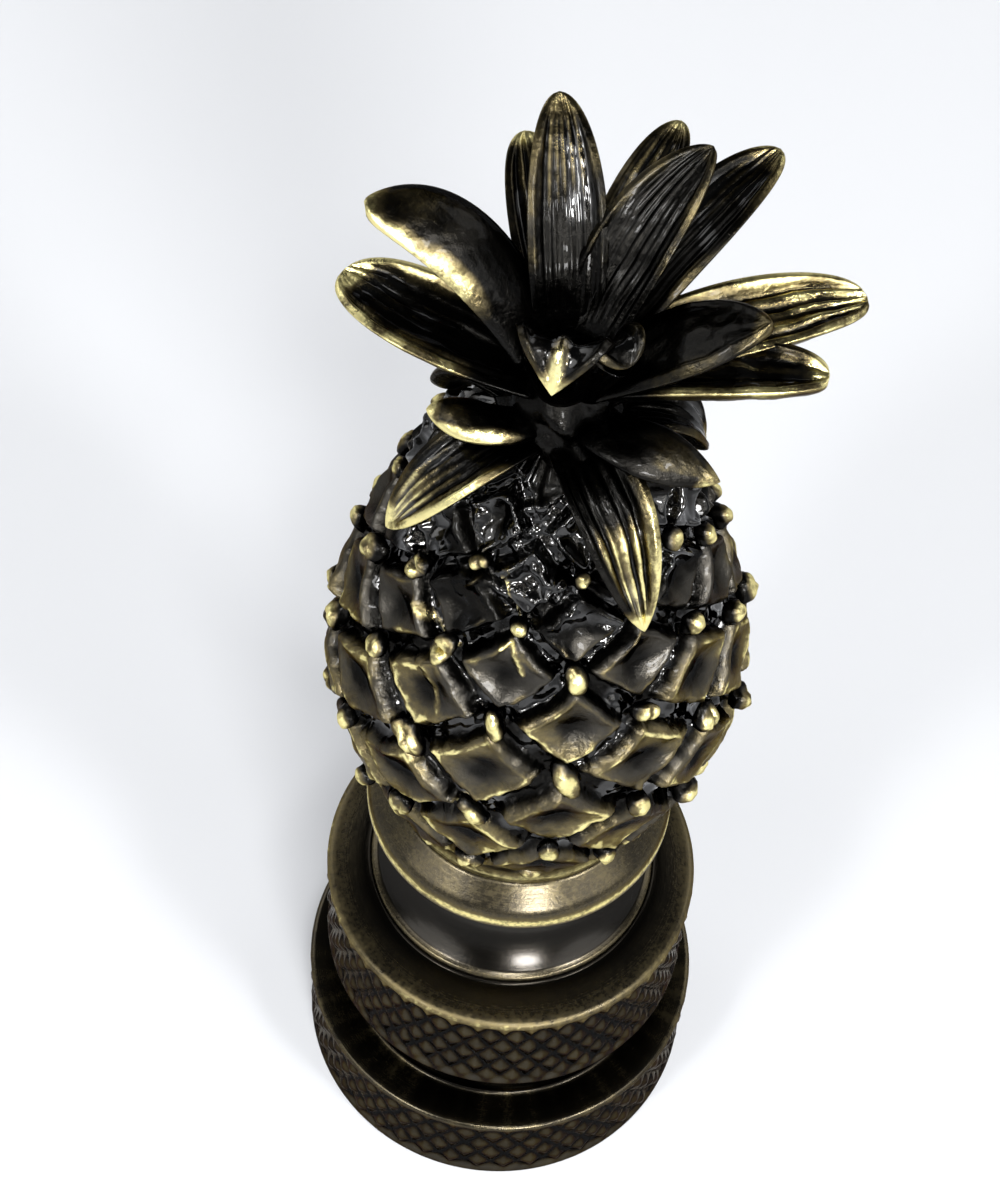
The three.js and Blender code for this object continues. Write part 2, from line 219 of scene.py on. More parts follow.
class Build:
    """Collects points, faces and finish marks, and turns them into one piece."""

    def __init__(self):
        self.points, self.faces, self.marks, self.count = [], [], [], 0

    def add(self, points, faces, worn, hollow):
        """Adds a part. worn is 0 for dark and 1 for bright metal, and on the base also painted sheen.

        hollow is 1 deep in a recess and 2 where glossy lacquer has pooled.
        """
        points = np.asarray(points, float).reshape(-1, 3)
        worn, hollow = (np.broadcast_to(mark, len(points)) for mark in (worn, hollow))
        self.points.append(points)
        self.marks.append(np.stack([worn, hollow], axis=-1))
        self.faces.extend((np.asarray(part) + self.count).tolist() for part in faces)
        self.count += len(points)

    def join(self, faces):
        """Adds faces between points that are already in."""
        self.faces.append(np.asarray(faces).tolist())

    def piece(self, name, material, slot, node):
        """Makes the object, lets it ride with the CAD model and stand for one of its nodes."""
        mesh = bpy.data.meshes.new(name)
        faces = [face for part in self.faces for face in part]
        mesh.from_pydata(np.concatenate(self.points).tolist(), [], faces)
        if mesh.validate():
            raise RuntimeError(f"{name} has faces that share all their corners or repeat a point")
        marks = np.concatenate(self.marks)
        for index, mark in enumerate(("worn", "hollow")):
            layer = mesh.attributes.new(mark, "FLOAT", "POINT")
            layer.data.foreach_set("value", marks[:, index].astype(np.float32))
        mesh.polygons.foreach_set("use_smooth", [True] * len(mesh.polygons))
        mesh.materials.append(material)
        mesh.update()
        piece = bpy.data.objects.new(name, mesh)
        bpy.context.scene.collection.objects.link(piece)
        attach(piece, "root")
        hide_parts(node)
        return piece


# Materials

# Share of its shine that the metal keeps where it is seen edge on
EDGE_TINT = (0.32, 0.29, 0.24)

# Sizes of the patches, speckle and grain in the cast metal, and the heights of their relief, in millimetres
CAST_PATCH, CAST_SPECKLE, CAST_GRAIN = 2.6, 0.32, 0.11
CAST_SWELL, CAST_PITTING, CAST_TOOTH = 0.05, 0.045, 0.006

# Sizes of the patches, speckle and turning lines in the turned metal, and the heights of their relief
TURNED_PATCH, TURNED_SPECKLE, TURNED_LINE = 1.8, 0.22, 0.07
TURNED_PITTING, TURNED_SCORING = 0.009, 0.0025

# The floor is a table lit from below, so that no hard shadow falls on it
FLOOR_GLOW = 0.25


class Nodes:
    """A short way to lay out a material's nodes."""

    def __init__(self, material):
        material.use_nodes = True
        self.tree = material.node_tree
        self.shader = self.tree.nodes["Principled BSDF"]

    def add(self, kind, inputs, **settings):
        """Adds a node. Each input is a value or another node's output."""
        node = self.tree.nodes.new(kind)
        for name, value in settings.items():
            setattr(node, name, value)
        for name, value in inputs.items():
            self.feed(node.inputs[name], value)
        return node

    def feed(self, socket, value):
        if isinstance(value, bpy.types.NodeSocket):
            self.tree.links.new(value, socket)
        else:
            socket.default_value = value

    def mark(self, name):
        return self.add("ShaderNodeAttribute", {}, attribute_name=name).outputs["Fac"]

    def place(self):
        return self.add("ShaderNodeTexCoord", {}).outputs["Object"]

    def noise(self, size, detail=3.0, roughness=0.55, place=None):
        """Noise from 0 to 1 with patches about `size` millimetres across."""
        inputs = {"Vector": place or self.place(), "Scale": 1.0 / (size * MM)}
        inputs.update(Detail=detail, Roughness=roughness)
        return self.add("ShaderNodeTexNoise", inputs).outputs["Fac"]

    def maths(self, operation, *values):
        node = self.add("ShaderNodeMath", {}, operation=operation)
        for socket, value in zip(node.inputs, values):
            self.feed(socket, value)
        return node.outputs[0]

    def total(self, start, *weighed):
        """Adds values to start, each given with its weight."""
        for value, weight in weighed:
            start = self.maths("MULTIPLY_ADD", value, weight, start)
        return start

    def spread(self, value, low, high, start=0.0, end=1.0):
        """Carries low..high over to start..end along an S curve."""
        inputs = {"Value": value, "From Min": low, "From Max": high, "To Min": start, "To Max": end}
        node = self.add("ShaderNodeMapRange", inputs, interpolation_type="SMOOTHSTEP")
        return node.outputs["Result"]

    def blend(self, share, first, second):
        """Mixes two colours."""
        node = self.add("ShaderNodeMix", {}, data_type="RGBA")
        for index, value in ((0, share), (6, first), (7, second)):
            self.feed(node.inputs[index], value)
        return node.outputs[2]

    def bump(self, pattern, height, below=None):
        """Adds fine relief of the given height in millimetres, over another layer of it if there is one."""
        inputs = {"Height": pattern, "Distance": height * MM, "Strength": 1.0}
        if below is not None:
            inputs["Normal"] = below
        return self.add("ShaderNodeBump", inputs).outputs["Normal"]

    def finish(self, **sockets):
        for name, value in sockets.items():
            self.feed(self.shader.inputs[name.replace("_", " ")], value)


def opaque(value):
    return (*value, 1.0)


def new_material(name):
    material = bpy.data.materials.new(name)
    return material, Nodes(material)


def cast_brass(finish):
    """Lacquered antique brass: black recesses, dark bronze faces and gold where fingers have rubbed."""
    material, nodes = new_material("cast_antique_brass")
    worn, hollow = nodes.mark("worn"), nodes.mark("hollow")
    patches = nodes.noise(CAST_PATCH, 2.0)
    speckle = nodes.noise(CAST_SPECKLE, 4.0, 0.65)
    grain = nodes.noise(CAST_GRAIN, 2.0)

    uneven = nodes.total(-0.05, (speckle, 1.3), (patches, 0.8))
    mottled = nodes.maths("MULTIPLY", worn, uneven)
    half_worn = nodes.spread(mottled, 0.1, 0.5)
    gilded = nodes.spread(mottled, 0.42, 0.85)
    sunk = nodes.spread(nodes.total(0.35, (hollow, 1.0), (patches, -0.7), (speckle, 0.3)), 0.2, 0.9)
    pooled = nodes.spread(nodes.total(hollow, (speckle, 0.5)), 1.25, 1.9)

    dark = nodes.blend(sunk, opaque(finish.bronze), opaque(finish.recess))
    brown = nodes.blend(half_worn, dark, opaque(finish.umber))
    base = nodes.blend(gilded, brown, opaque(finish.gilt))
    rough = nodes.total(nodes.spread(patches, 0.3, 0.7, 0.27, 0.4), (sunk, -0.05), (pooled, -0.14))

    swell = nodes.bump(patches, CAST_SWELL)
    normal = nodes.bump(grain, CAST_TOOTH, nodes.bump(speckle, CAST_PITTING, swell))
    nodes.finish(Base_Color=base, Metallic=1.0, Roughness=rough, Normal=normal)
    wet = nodes.total(0.08, (pooled, 0.9))
    nodes.finish(Coat_Weight=wet, Coat_Roughness=0.045, Coat_IOR=1.5, Coat_Normal=swell)
    nodes.finish(Specular_Tint=opaque(EDGE_TINT))
    return material


def turned_brass(finish):
    """Satin brown brass with fine turning lines, dark cuts and bright worn rims."""
    material, nodes = new_material("turned_antique_brass")
    # worn also carries the painted sheen on the shoulder and the throat
    worn, hollow = nodes.mark("worn"), nodes.mark("hollow")
    x, y, z = nodes.add("ShaderNodeSeparateXYZ", {"Vector": nodes.place()}).outputs
    radius = nodes.maths("SQRT", nodes.maths("MULTIPLY_ADD", y, y, nodes.maths("MULTIPLY", x, x)))
    rings = nodes.add("ShaderNodeCombineXYZ", {"X": radius, "Y": z, "Z": 0.0}).outputs[0]
    lines = nodes.noise(TURNED_LINE, 3.0, 0.6, rings)
    patches = nodes.noise(TURNED_PATCH, 3.0)
    speckle = nodes.noise(TURNED_SPECKLE, 3.0, 0.6)

    uneven = nodes.total(0.1, (speckle, 1.1), (patches, 0.7))
    mottled = nodes.maths("MULTIPLY", worn, uneven)
    half_worn = nodes.spread(mottled, 0.08, 0.55)
    gilded = nodes.spread(mottled, 0.5, 0.95)
    cut = nodes.spread(nodes.total(hollow, (speckle, 0.2)), 0.2, 1.0)

    hazy = nodes.maths("MULTIPLY", nodes.spread(patches, 0.35, 0.75), 0.16)
    satin = nodes.blend(hazy, opaque(finish.satin), opaque(finish.umber))
    dark = nodes.blend(cut, satin, opaque(finish.satin_dark))
    brown = nodes.blend(half_worn, dark, opaque(finish.umber))
    base = nodes.blend(gilded, brown, opaque(finish.gilt))
    rough = nodes.total(nodes.spread(lines, 0.2, 0.8, 0.17, 0.25), (half_worn, 0.32))

    normal = nodes.bump(speckle, TURNED_PITTING, nodes.bump(lines, TURNED_SCORING))
    nodes.finish(Base_Color=base, Metallic=1.0, Roughness=rough, Normal=normal)
    nodes.finish(Coat_Weight=nodes.spread(hollow, 1.2, 1.6, 0.06, 0.32), Coat_Roughness=0.17)
    nodes.finish(Specular_Tint=opaque(EDGE_TINT))
    return material


def plain_floor(finish):
    material, nodes = new_material("studio_floor")
    nodes.finish(Base_Color=opaque(finish.floor), Roughness=0.9)
    nodes.finish(Emission_Color=opaque(finish.floor), Emission_Strength=FLOOR_GLOW)
    return material


# The turned base

# Longest step along the outline in millimetres, and the steps in an arc, in one tooth and in the cove
BASE_STEP = 0.2
ROUND_STEPS = 5
TOOTH_STEPS = 10
COVE_STEPS = 26

# Roundings in millimetres, how far the bead leans in, and how far the collar's foot stands out and up
SMALL_ROUNDING = 0.12
COLLAR_ROUNDING = 0.4
BEAD_LEAN = 0.1
COLLAR_FLARE = 0.05
COLLAR_FOOT = 0.1

# Millimetres from a band's edge to where the knurling starts and to where it is full
KNURL_EDGE = 0.2
KNURL_FADE = 0.85

# How much of a knurl is flat on top, and how deep the second set of cuts goes
KNURL_TOP = 0.14
CROSS_CUT = 0.9

# Millimetres from a band's upper edge down to its worn rim, the rim's width, how far it stays out from the
# shoulder's inner edge, and where the bright knurls below it start and are brightest
RIM_DROP = 0.12
RIM_WIDTH = 0.26
RIM_CLEARANCE = 1.0
TOP_ROW = (1.5, 0.3)

# Millimetres out from the groove to where a band's wall begins, and how far the dark of a ledge and the
# painted sheen on the shoulder reach down past the edge. Then in from the lower band's rim, and out from the
# groove, to where the ledge starts to darken and is dark.
GROOVE_MARGIN = 0.2
EDGE_MARGIN = 0.4
LEDGE_RUN = (0.3, 0.6)

# Millimetres from the bead's foot up to its worn crest, and the widths of that crest, of the dark line at the
# foot and of the painted sheen on the shoulder
BEAD_CREST = 0.35
BEAD_WIDTH = 0.2
BEAD_CUT = 0.14
SHOULDER_SHEEN_WIDTH = 1.7

# Millimetres down from the seat to where the painted sheen on the throat, under the collar's rim, starts
# and is full, to the collar's worn rim and to the dish
THROAT_SHEEN_DROPS = (5.2, 2.0)
COLLAR_DROP = 1.8
DISH_DROP = 1.6

# Millimetres: the width of the collar's worn rim, and how far in from its edge the collar counts as such
COLLAR_WIDTH = 0.42
COLLAR_WALL = 0.6

# The base's patches: size in millimetres, and the seed that places them
RIM_PATCHES = (7.0, 52)
BLOTCHES = (1.6, 51)

# How bright each worn part of the base is, how bright the painted sheen on the shoulder and on the throat
# is, and how glossy the neck is
LOWER_RIM_WEAR = 0.35
UPPER_RIM_WEAR = 0.85
KNURL_WEAR = 0.09
BEAD_WEAR = 0.26
COLLAR_WEAR = 0.85
DISH_WEAR = 0.21
SHOULDER_PAINTED_SHEEN = 0.3
THROAT_PAINTED_SHEEN = 0.34
NECK_GLOSS = 1.6


def rounded(corner, before, after, radius):
    """A corner of an outline as a short arc that keeps to its two sides."""
    corner, before, after = (np.asarray(point, float) for point in (corner, before, after))
    back, ahead = before - corner, after - corner
    reach = min(radius, 0.45 * np.linalg.norm(back), 0.45 * np.linalg.norm(ahead))
    start = corner + back / np.linalg.norm(back) * reach
    end = corner + ahead / np.linalg.norm(ahead) * reach
    share = np.linspace(0.0, 1.0, ROUND_STEPS)[:, None]
    return (1 - share) ** 2 * start + 2 * share * (1 - share) * corner + share**2 * end


def close_spaced(outline, step):
    """Adds points to an outline so that none are further apart than step."""
    spaced = [outline[:1]]
    for start, end in zip(outline[:-1], outline[1:]):
        count = max(1, math.ceil(np.linalg.norm(end - start) / step))
        spaced.append(start + (end - start) * (np.arange(1, count + 1) / count)[:, None])
    return np.concatenate(spaced)


def cove(sizes, bottom):
    """The neck's outline between the bead and the collar, narrowest half-way up."""
    share = np.linspace(0.0, 1.0, COVE_STEPS)
    waist = (sizes.bead_radius + sizes.collar_radius) / 2 - sizes.neck_radius
    radius = mix(sizes.bead_radius, sizes.collar_radius, share) - waist * (1.0 - (2.0 * share - 1.0) ** 2)
    return np.stack([radius, bottom + sizes.neck_height * share], axis=-1)


def base_levels(sizes):
    """Heights where the lower band, the groove, the upper band, the shoulder, the bead and the neck end."""
    bands = sizes.lower_band_height, sizes.band_gap, sizes.upper_band_height
    return np.cumsum([*bands, sizes.shoulder_rise, sizes.bead_rise, sizes.neck_height])


def round_off(path):
    """A path's inner corners as short arcs. Each of its points is a radius, a height and a rounding."""
    arcs = []
    for before, corner, after in zip(path, path[1:], path[2:]):
        arcs.extend(rounded(corner[:2], before[:2], after[:2], corner[2]))
    return arcs


def base_outline(sizes):
    """Radius against height from the underside's edge up over the bands and the neck to the seat."""
    soft, small = sizes.band_rounding, SMALL_ROUNDING * MM
    lower, upper, shoulder, bead, neck, collar = base_levels(sizes)
    curve = cove(sizes, neck)
    below = [
        (sizes.hole_radius, 0.0, 0.0),
        (sizes.lower_band_radius, 0.0, soft),
        (sizes.lower_band_radius, lower, soft),
        (sizes.groove_radius, lower, soft),
        (sizes.groove_radius, upper, soft),
        (sizes.upper_band_radius, upper, soft),
        (sizes.upper_band_radius, shoulder, soft),
        (sizes.shoulder_radius, bead, small),
        (sizes.shoulder_radius - BEAD_LEAN * MM, neck - BEAD_LEAN * MM, small),
        (*curve[0], 0.0),
    ]
    above = [
        (*curve[-1], 0.0),
        (sizes.collar_radius + COLLAR_FLARE * MM, collar + COLLAR_FOOT * MM, small),
        (sizes.collar_radius, collar + sizes.collar_height, COLLAR_ROUNDING * MM),
        (sizes.seat_radius, BASE_HIGH.z, 0.0),
    ]
    points = [*round_off(below), *curve, *round_off(above), above[-1][:2]]
    return np.concatenate([[below[0][:2]], close_spaced(np.array(points), BASE_STEP * MM)])


def knurl(sizes, degrees, z):
    """0 on the points of the diamonds and 1 along the cuts between them."""
    turn = sizes.knurl_teeth * degrees / 360.0
    climb = z / sizes.knurl_pitch
    cuts = [np.abs(2.0 * ((turn + way * climb) % 1.0) - 1.0) for way in (1.0, -1.0)]
    slopes = [np.clip((cut - KNURL_TOP) / (1.0 - KNURL_TOP), 0.0, 1.0) for cut in cuts]
    return np.maximum(slopes[0], CROSS_CUT * slopes[1])


def base_skin(sizes, outline, degrees):
    """Radius of the base around each height, its wear with painted sheen, and how hollow it is."""
    radius, z = outline[:, :1], outline[:, 1:]
    lower, upper, shoulder, bead, neck, _ = base_levels(sizes)
    places = around(radius, degrees, z)
    cuts = knurl(sizes, degrees, z)
    depth, worn = np.zeros_like(cuts), np.zeros_like(cuts)
    outer = radius > sizes.groove_radius + GROOVE_MARGIN * MM
    off_neck = radius > sizes.shoulder_radius + RIM_CLEARANCE * MM
    for low, high, rim_wear in ((0.0, lower, LOWER_RIM_WEAR), (upper, shoulder, UPPER_RIM_WEAR)):
        wall = outer & (z > low) & (z < high)
        fade = smooth(low + KNURL_EDGE * MM, low + KNURL_FADE * MM, z)
        fade = fade * smooth(high - KNURL_EDGE * MM, high - KNURL_FADE * MM, z)
        depth = np.where(wall, cuts * fade, depth)
        rim = line_at(z, high - RIM_DROP * MM, RIM_WIDTH * MM) * off_neck
        rim = rim * rim_wear * (1.0 - 0.35 * cuts) * (z < high + RIM_DROP * MM)
        rim = rim * (0.8 + 0.25 * ripple(places, *RIM_PATCHES))
        top_row = smooth(high - TOP_ROW[0] * MM, high - TOP_ROW[1] * MM, z) * rim_wear * 0.6
        knurls = wall * (fade * KNURL_WEAR + top_row) * (1.0 - cuts) ** 2
        worn = np.maximum.reduce([worn, rim, knurls])

    blotches = ripple(places, *BLOTCHES)
    hollow = depth**2 * (0.85 + 0.15 * blotches) + 0.18 * (depth > 0.0) * smooth(-0.2, 1.0, blotches)
    ledge = (z > lower - EDGE_MARGIN * MM) & (z < upper)
    dark_from = sizes.lower_band_radius - LEDGE_RUN[0] * MM
    dark_to = sizes.groove_radius + LEDGE_RUN[1] * MM
    hollow = np.where(ledge, np.maximum(hollow, mix(0.2, 0.9, smooth(dark_from, dark_to, radius))), hollow)
    hollow = np.maximum(hollow, 0.9 * line_at(z, bead, BEAD_CUT * MM))
    on_neck = (z > neck) & (z < BASE_HIGH.z - COLLAR_DROP * MM)
    hollow = np.where(on_neck, NECK_GLOSS, hollow)

    # Painted sheen on the shoulder: brightest at its outer edge and fading towards the neck
    shoulder_sheen = line_at(radius, sizes.upper_band_radius, SHOULDER_SHEEN_WIDTH * MM) * (z > shoulder - EDGE_MARGIN * MM)
    # Painted sheen on the throat: lighter towards the collar's rim, as if its underside were lit
    throat_sheen = smooth(BASE_HIGH.z - THROAT_SHEEN_DROPS[0] * MM, BASE_HIGH.z - THROAT_SHEEN_DROPS[1] * MM, z)
    collar = line_at(z, BASE_HIGH.z - COLLAR_DROP * MM, COLLAR_WIDTH * MM)
    marks = (
        BEAD_WEAR * line_at(z, bead + BEAD_CREST * MM, BEAD_WIDTH * MM),
        SHOULDER_PAINTED_SHEEN * shoulder_sheen,
        THROAT_PAINTED_SHEEN * on_neck * throat_sheen,
        COLLAR_WEAR * collar * (radius > sizes.collar_radius - COLLAR_WALL * MM),
        DISH_WEAR * (z > BASE_HIGH.z - DISH_DROP * MM),
    )
    worn = np.maximum.reduce(np.broadcast_arrays(worn, *marks))
    return radius - sizes.knurl_depth * depth, worn, hollow


def build_base(sizes, finish):
    outline = base_outline(sizes)
    degrees = np.linspace(0.0, 360.0, sizes.knurl_teeth * TOOTH_STEPS, endpoint=False)
    radius, worn, hollow = base_skin(sizes, outline, degrees[None, :])
    build = Build()
    rows, columns = radius.shape
    skin = around(radius, degrees, outline[:, 1:])
    build.add(skin, [grid_faces(rows, columns)], worn.ravel(), hollow.ravel())
    sole = np.arange(columns)
    seat = sole + (rows - 1) * columns
    build.add([(0.0, 0.0, BASE_HIGH.z)], [], 0.3, 0.4)
    build.join(fan_faces(seat, build.count - 1))
    build.add(around(sizes.hole_radius, degrees, sizes.hole_depth), [], 0.0, 0.7)
    roof = sole + build.count - columns
    build.join(ring_faces(roof, sole))
    build.add([(0.0, 0.0, sizes.hole_depth)], [], 0.0, 0.9)
    build.join(fan_faces(roof, build.count - 1, flip=True))
    return build.piece("turned_base", turned_brass(finish), "turned_brass", "knurled_base")


# The fruit

COLUMNS = 8
TILE_ROWS = 10
BUMP_ROWS = 9

# Height of the lowest row in millimetres, and how much closer the rows lie towards the crown
FIRST_ROW_HEIGHT = 1.8
ROW_CROWDING = 0.414

# Degrees from the front to the lowest row's first bump, and from each row to the next
FIRST_BUMP_ANGLE = 7.8
ROW_TWIST = 1.09

# Outline of the fruit: shares of its radius against shares of its height
FRUIT_OUTLINE = (
    (0.60, 0.0),
    (0.69, 0.066),
    (0.868, 0.19),
    (1.0, 0.425),
    (0.89, 0.615),
    (0.71, 0.775),
    (0.53, 0.915),
    (0.35, 1.0),
)
OUTLINE_STEPS = 40

# Shares of a tile's edge: the groove's floor and lip, the frame's crest, the place and width of its line, its
# inner side, the dish's middle, and how far the edges waver and how near to 0 they may come
GROOVE_FLOOR = 0.07
GROOVE_LIP = 0.175
FRAME_CREST = 0.21
FRAME_LINE = 0.20
FRAME_WIDTH = 0.03
FRAME_END = 0.23
DISH_MIDDLE = 0.46
EDGE_WAVER = 0.012
LEAST_EDGE = 0.001

# How square the dishes' corners are. A larger number makes them sharper.
DISH_SQUARENESS = 5

# Rows over which the casting turns glossy and lumpy, and over which the frames lose their gold
GLOSSY_ROWS = (6.2, 7.6)
GILDED_ROWS = (4.2, 7.4)

# Steps across half a groove's floor, its wall with the frame, and half a dish
FLOOR_STEPS = 3
WALL_STEPS = 8
DISH_STEPS = 6

# The casting's unevenness: the size of each kind in millimetres, and the seed that places it
UNEVENNESS = {
    "swell": (2.6, 11),
    "fine": (0.8, 12),
    "lumps": (1.15, 13),
    "patches": (5.0, 14),
    "flecks": (1.1, 15),
    "drops": (0.6, 16),
    "pools": (3.0, 17),
}

# How far the tiles are drawn out of line in half tiles, the size of that drift in millimetres, and its seeds
DRIFT = 0.035
DRIFT_SIZE = 5.5
DRIFT_SEEDS = (21, 22)

# The step at the foot in millimetres: how far its edges stand out, how far it reaches up behind the skin, and
# how far its lowest edge is set in and up. Then how far the top rises under the crown.
FOOT_LIP = 0.12
FOOT_REACH = 0.4
FOOT_INSET = 0.2
FOOT_LIFT = 0.1
TOP_RISE = 0.6


def fruit_outline(sizes):
    """The fruit's outline as a smooth curve through its points."""
    scale = np.array([sizes.radius, sizes.height])
    points = np.array(FRUIT_OUTLINE) * scale
    padded = np.concatenate([points[:1], points, points[-1:]])
    share = np.linspace(0.0, 1.0, OUTLINE_STEPS, endpoint=False)[:, None]
    curve = []
    for before, start, end, after in zip(padded, padded[1:], padded[2:], padded[3:]):
        slope = (end - before) / 2
        turn = (2 * before - 5 * start + 4 * end - after) / 2
        bend = (3 * start - before - 3 * end + after) / 2
        curve.append(start + slope * share + turn * share**2 + bend * share**3)
    return np.concatenate([*curve, points[-1:]])


class Fruit:
    """Places points on the fruit by row and side, both counted in half tiles."""

    def __init__(self, sizes):
        self.sizes = sizes
        outline = fruit_outline(sizes)
        self.heights, self.radii = outline[:, 1], outline[:, 0]
        along = np.gradient(outline, axis=0)
        along /= np.linalg.norm(along, axis=1)[:, None]
        self.out, self.up = along[:, 1], -along[:, 0]

    def height(self, row):
        share = row / TILE_ROWS
        first = FIRST_ROW_HEIGHT * MM
        return first + (self.sizes.height - first) * share * (1 + ROW_CROWDING * (1 - share))

    def degrees(self, row, side):
        return FIRST_BUMP_ANGLE + 180.0 / COLUMNS * side + ROW_TWIST * row

    def at(self, row, side, raised=0.0):
        height = self.height(row)
        radius = np.interp(height, self.heights, self.radii)
        out = np.interp(height, self.heights, self.out)
        up = np.interp(height, self.heights, self.up)
        return around(radius + out * raised, self.degrees(row, side), FRUIT_LOW.z + height + up * raised)

    def outward(self, row, side):
        return (self.at(row, side, MM) - self.at(row, side)) / MM


def tile_stops():
    """Places along a tile's edge, closest together over the groove's walls and the frame."""
    ends = (0.0, GROOVE_FLOOR, FRAME_END, 0.5)
    spans = zip(ends, ends[1:], (FLOOR_STEPS, WALL_STEPS, DISH_STEPS))
    half = np.concatenate([np.linspace(low, high, steps, endpoint=False) for low, high, steps in spans])
    return np.concatenate([half, [0.5], 1.0 - half[:0:-1]])


@dataclass
class Flaw:
    """A ridge or a pit in the casting from one row and side to another. Width and rise are millimetres."""

    start: tuple
    end: tuple
    width: float
    rise: float
    worn: float = 0.0


FLAWS = (
    Flaw((8.05, -1.50), (7.02, -1.02), 0.10, 0.20, 0.75),
    Flaw((6.62, -1.02), (6.05, -0.78), 0.16, 0.20, 0.80),
    Flaw((6.58, -1.02), (6.58, -1.02), 0.26, -0.60),
    Flaw((6.58, -1.02), (6.50, -1.16), 0.12, 0.16, 0.85),
    Flaw((8.32, -0.98), (8.12, -0.62), 0.34, 0.55),
    Flaw((8.10, -1.75), (8.28, -1.40), 0.15, 0.34, 0.35),
    Flaw((8.45, -1.95), (8.12, -2.10), 0.15, 0.30, 0.30),
    Flaw((7.75, -1.25), (7.62, -0.85), 0.17, 0.30, 0.15),
    Flaw((7.55, -0.45), (7.85, -0.30), 0.22, 0.30),
    Flaw((7.30, -2.05), (7.70, -1.90), 0.20, 0.26, 0.20),
    Flaw((6.35, -2.75), (6.05, -1.85), 0.15, 0.16, 0.60),
    Flaw((5.60, -2.25), (4.75, -1.75), 0.15, 0.12, 0.60),
    Flaw((2.60, -1.80), (3.20, -0.90), 0.17, 0.14, 0.70),
    Flaw((7.60, 2.10), (7.20, 2.35), 0.20, 0.24),
    Flaw((8.10, 1.15), (7.60, 1.35), 0.18, 0.26),
)

# Rough distance between rows and between sides, for the flaws' own sizes
ROW_MILLIMETRES = 2.9
SIDE_MILLIMETRES = 3.9


def flaw_strength(flaw, rows, sides):
    """1 along the flaw's middle, falling to 0 beside it."""
    turn = 2 * COLUMNS
    spot = np.stack([rows - flaw.start[0], (sides - flaw.start[1] + COLUMNS) % turn - COLUMNS], axis=-1)
    spot = spot * (ROW_MILLIMETRES, SIDE_MILLIMETRES)
    run = (np.array(flaw.end) - flaw.start) * (ROW_MILLIMETRES, SIDE_MILLIMETRES)
    share = np.clip(spot @ run / max(run @ run, 1e-9), 0.0, 1.0)
    distance = np.linalg.norm(spot - share[..., None] * run, axis=-1)
    return np.exp(-((distance / flaw.width) ** 2))


def tile_relief(sizes, right, left, points, rows, sides):
    """Height of the skin over the fruit's outline, and how worn and how hollow it is."""
    uneven = {name: ripple(points, *kind) for name, kind in UNEVENNESS.items()}
    swell, fine = uneven["swell"], uneven["fine"]
    edges = [np.minimum(share % 1.0, 1.0 - share % 1.0) + EDGE_WAVER * fine for share in (right, left)]
    edges = [np.maximum(edge, LEAST_EDGE) for edge in edges]
    nearest = np.minimum(*edges)
    inward = (edges[0] ** -DISH_SQUARENESS + edges[1] ** -DISH_SQUARENESS) ** (-1 / DISH_SQUARENESS)
    wall = smooth(GROOVE_FLOOR, GROOVE_LIP, nearest)
    dish = smooth(FRAME_CREST, DISH_MIDDLE, inward) ** 0.8
    crest = line_at(nearest, FRAME_LINE, FRAME_WIDTH)
    glossy = smooth(*GLOSSY_ROWS, rows + 0.25 * swell)
    raised = -sizes.groove_depth * (1.0 - wall) * mix(1.0, 0.8, glossy)
    raised += sizes.frame_rise * crest * (0.7 + 0.5 * swell)
    raised -= sizes.dish_depth * dish * (1.0 + 0.3 * swell)
    drops = uneven["drops"] * np.maximum(glossy, 1.0 - wall)
    raised += sizes.roughness * (0.9 * swell + 0.3 * fine + 0.55 * drops)
    raised += sizes.lump_height * smooth(-0.4, 1.8, uneven["lumps"]) * mix(0.5 * (1.0 - wall), 1.0, glossy)

    lower = 1.0 - smooth(*GILDED_ROWS, rows)
    patchy = smooth(-0.9, 0.9, uneven["patches"])
    flecked = 0.75 + 0.3 * uneven["flecks"]
    worn = crest * wall * mix(0.12, 1.0, lower) * (0.35 + 0.8 * patchy) * flecked
    worn = np.maximum(worn, 0.42 * lower * wall * (1.0 - 0.9 * dish) * (0.45 + 0.7 * patchy))
    hollow = np.maximum.reduce([1.0 - wall, 0.75 * dish, 0.9 * glossy])
    hollow += np.maximum(glossy, 0.8 * (1.0 - wall)) * smooth(-0.8, 0.5, uneven["pools"])
    for flaw in FLAWS:
        strength = flaw_strength(flaw, rows, sides)
        raised += flaw.rise * MM * strength
        worn = np.maximum(worn, flaw.worn * strength)
    return raised, worn, hollow


def skin_faces(rows, count):
    """Quads that lean with the tiles' edges, with triangles that level the first and the last row."""
    number = np.arange(rows * count).reshape(rows, count)
    before = np.roll(number, 1, axis=1)
    quads = np.stack([number[:-2], number[1:-1], before[2:], before[1:-1]], axis=-1).reshape(-1, 4)
    foot_teeth = np.stack([number[0], np.roll(number[0], -1), number[1]], axis=-1)
    top_teeth = np.stack([number[-2], number[-1], np.roll(number[-1], 1)], axis=-1)
    return [quads, foot_teeth, top_teeth]


def add_foot(build, sizes, degrees):
    """The small step between the fruit's lowest row, which is in first, and the seat."""
    base = FRUIT_LOW.z
    lip = sizes.foot_radius + FOOT_LIP * MM
    steps = (
        (lip, base + sizes.foot_height + FOOT_REACH * MM, 0.2),
        (sizes.foot_radius, base + sizes.foot_height, 0.35),
        (lip, base + 0.5 * sizes.foot_height, 0.6),
        (sizes.foot_radius, BASE_HIGH.z + FOOT_LIFT * MM, 0.5),
        (sizes.foot_radius - FOOT_INSET * MM, BASE_HIGH.z, 0.1),
    )
    above = np.arange(len(degrees))
    for radius, z, bright in steps:
        build.add(around(radius, degrees, z), [], bright, 0.3)
        ring = np.arange(len(degrees)) + build.count - len(degrees)
        build.join(ring_faces(ring, above))
        above = ring
    build.add([(0.0, 0.0, BASE_HIGH.z)], [], 0.0, 0.5)
    build.join(fan_faces(above, build.count - 1, flip=True))


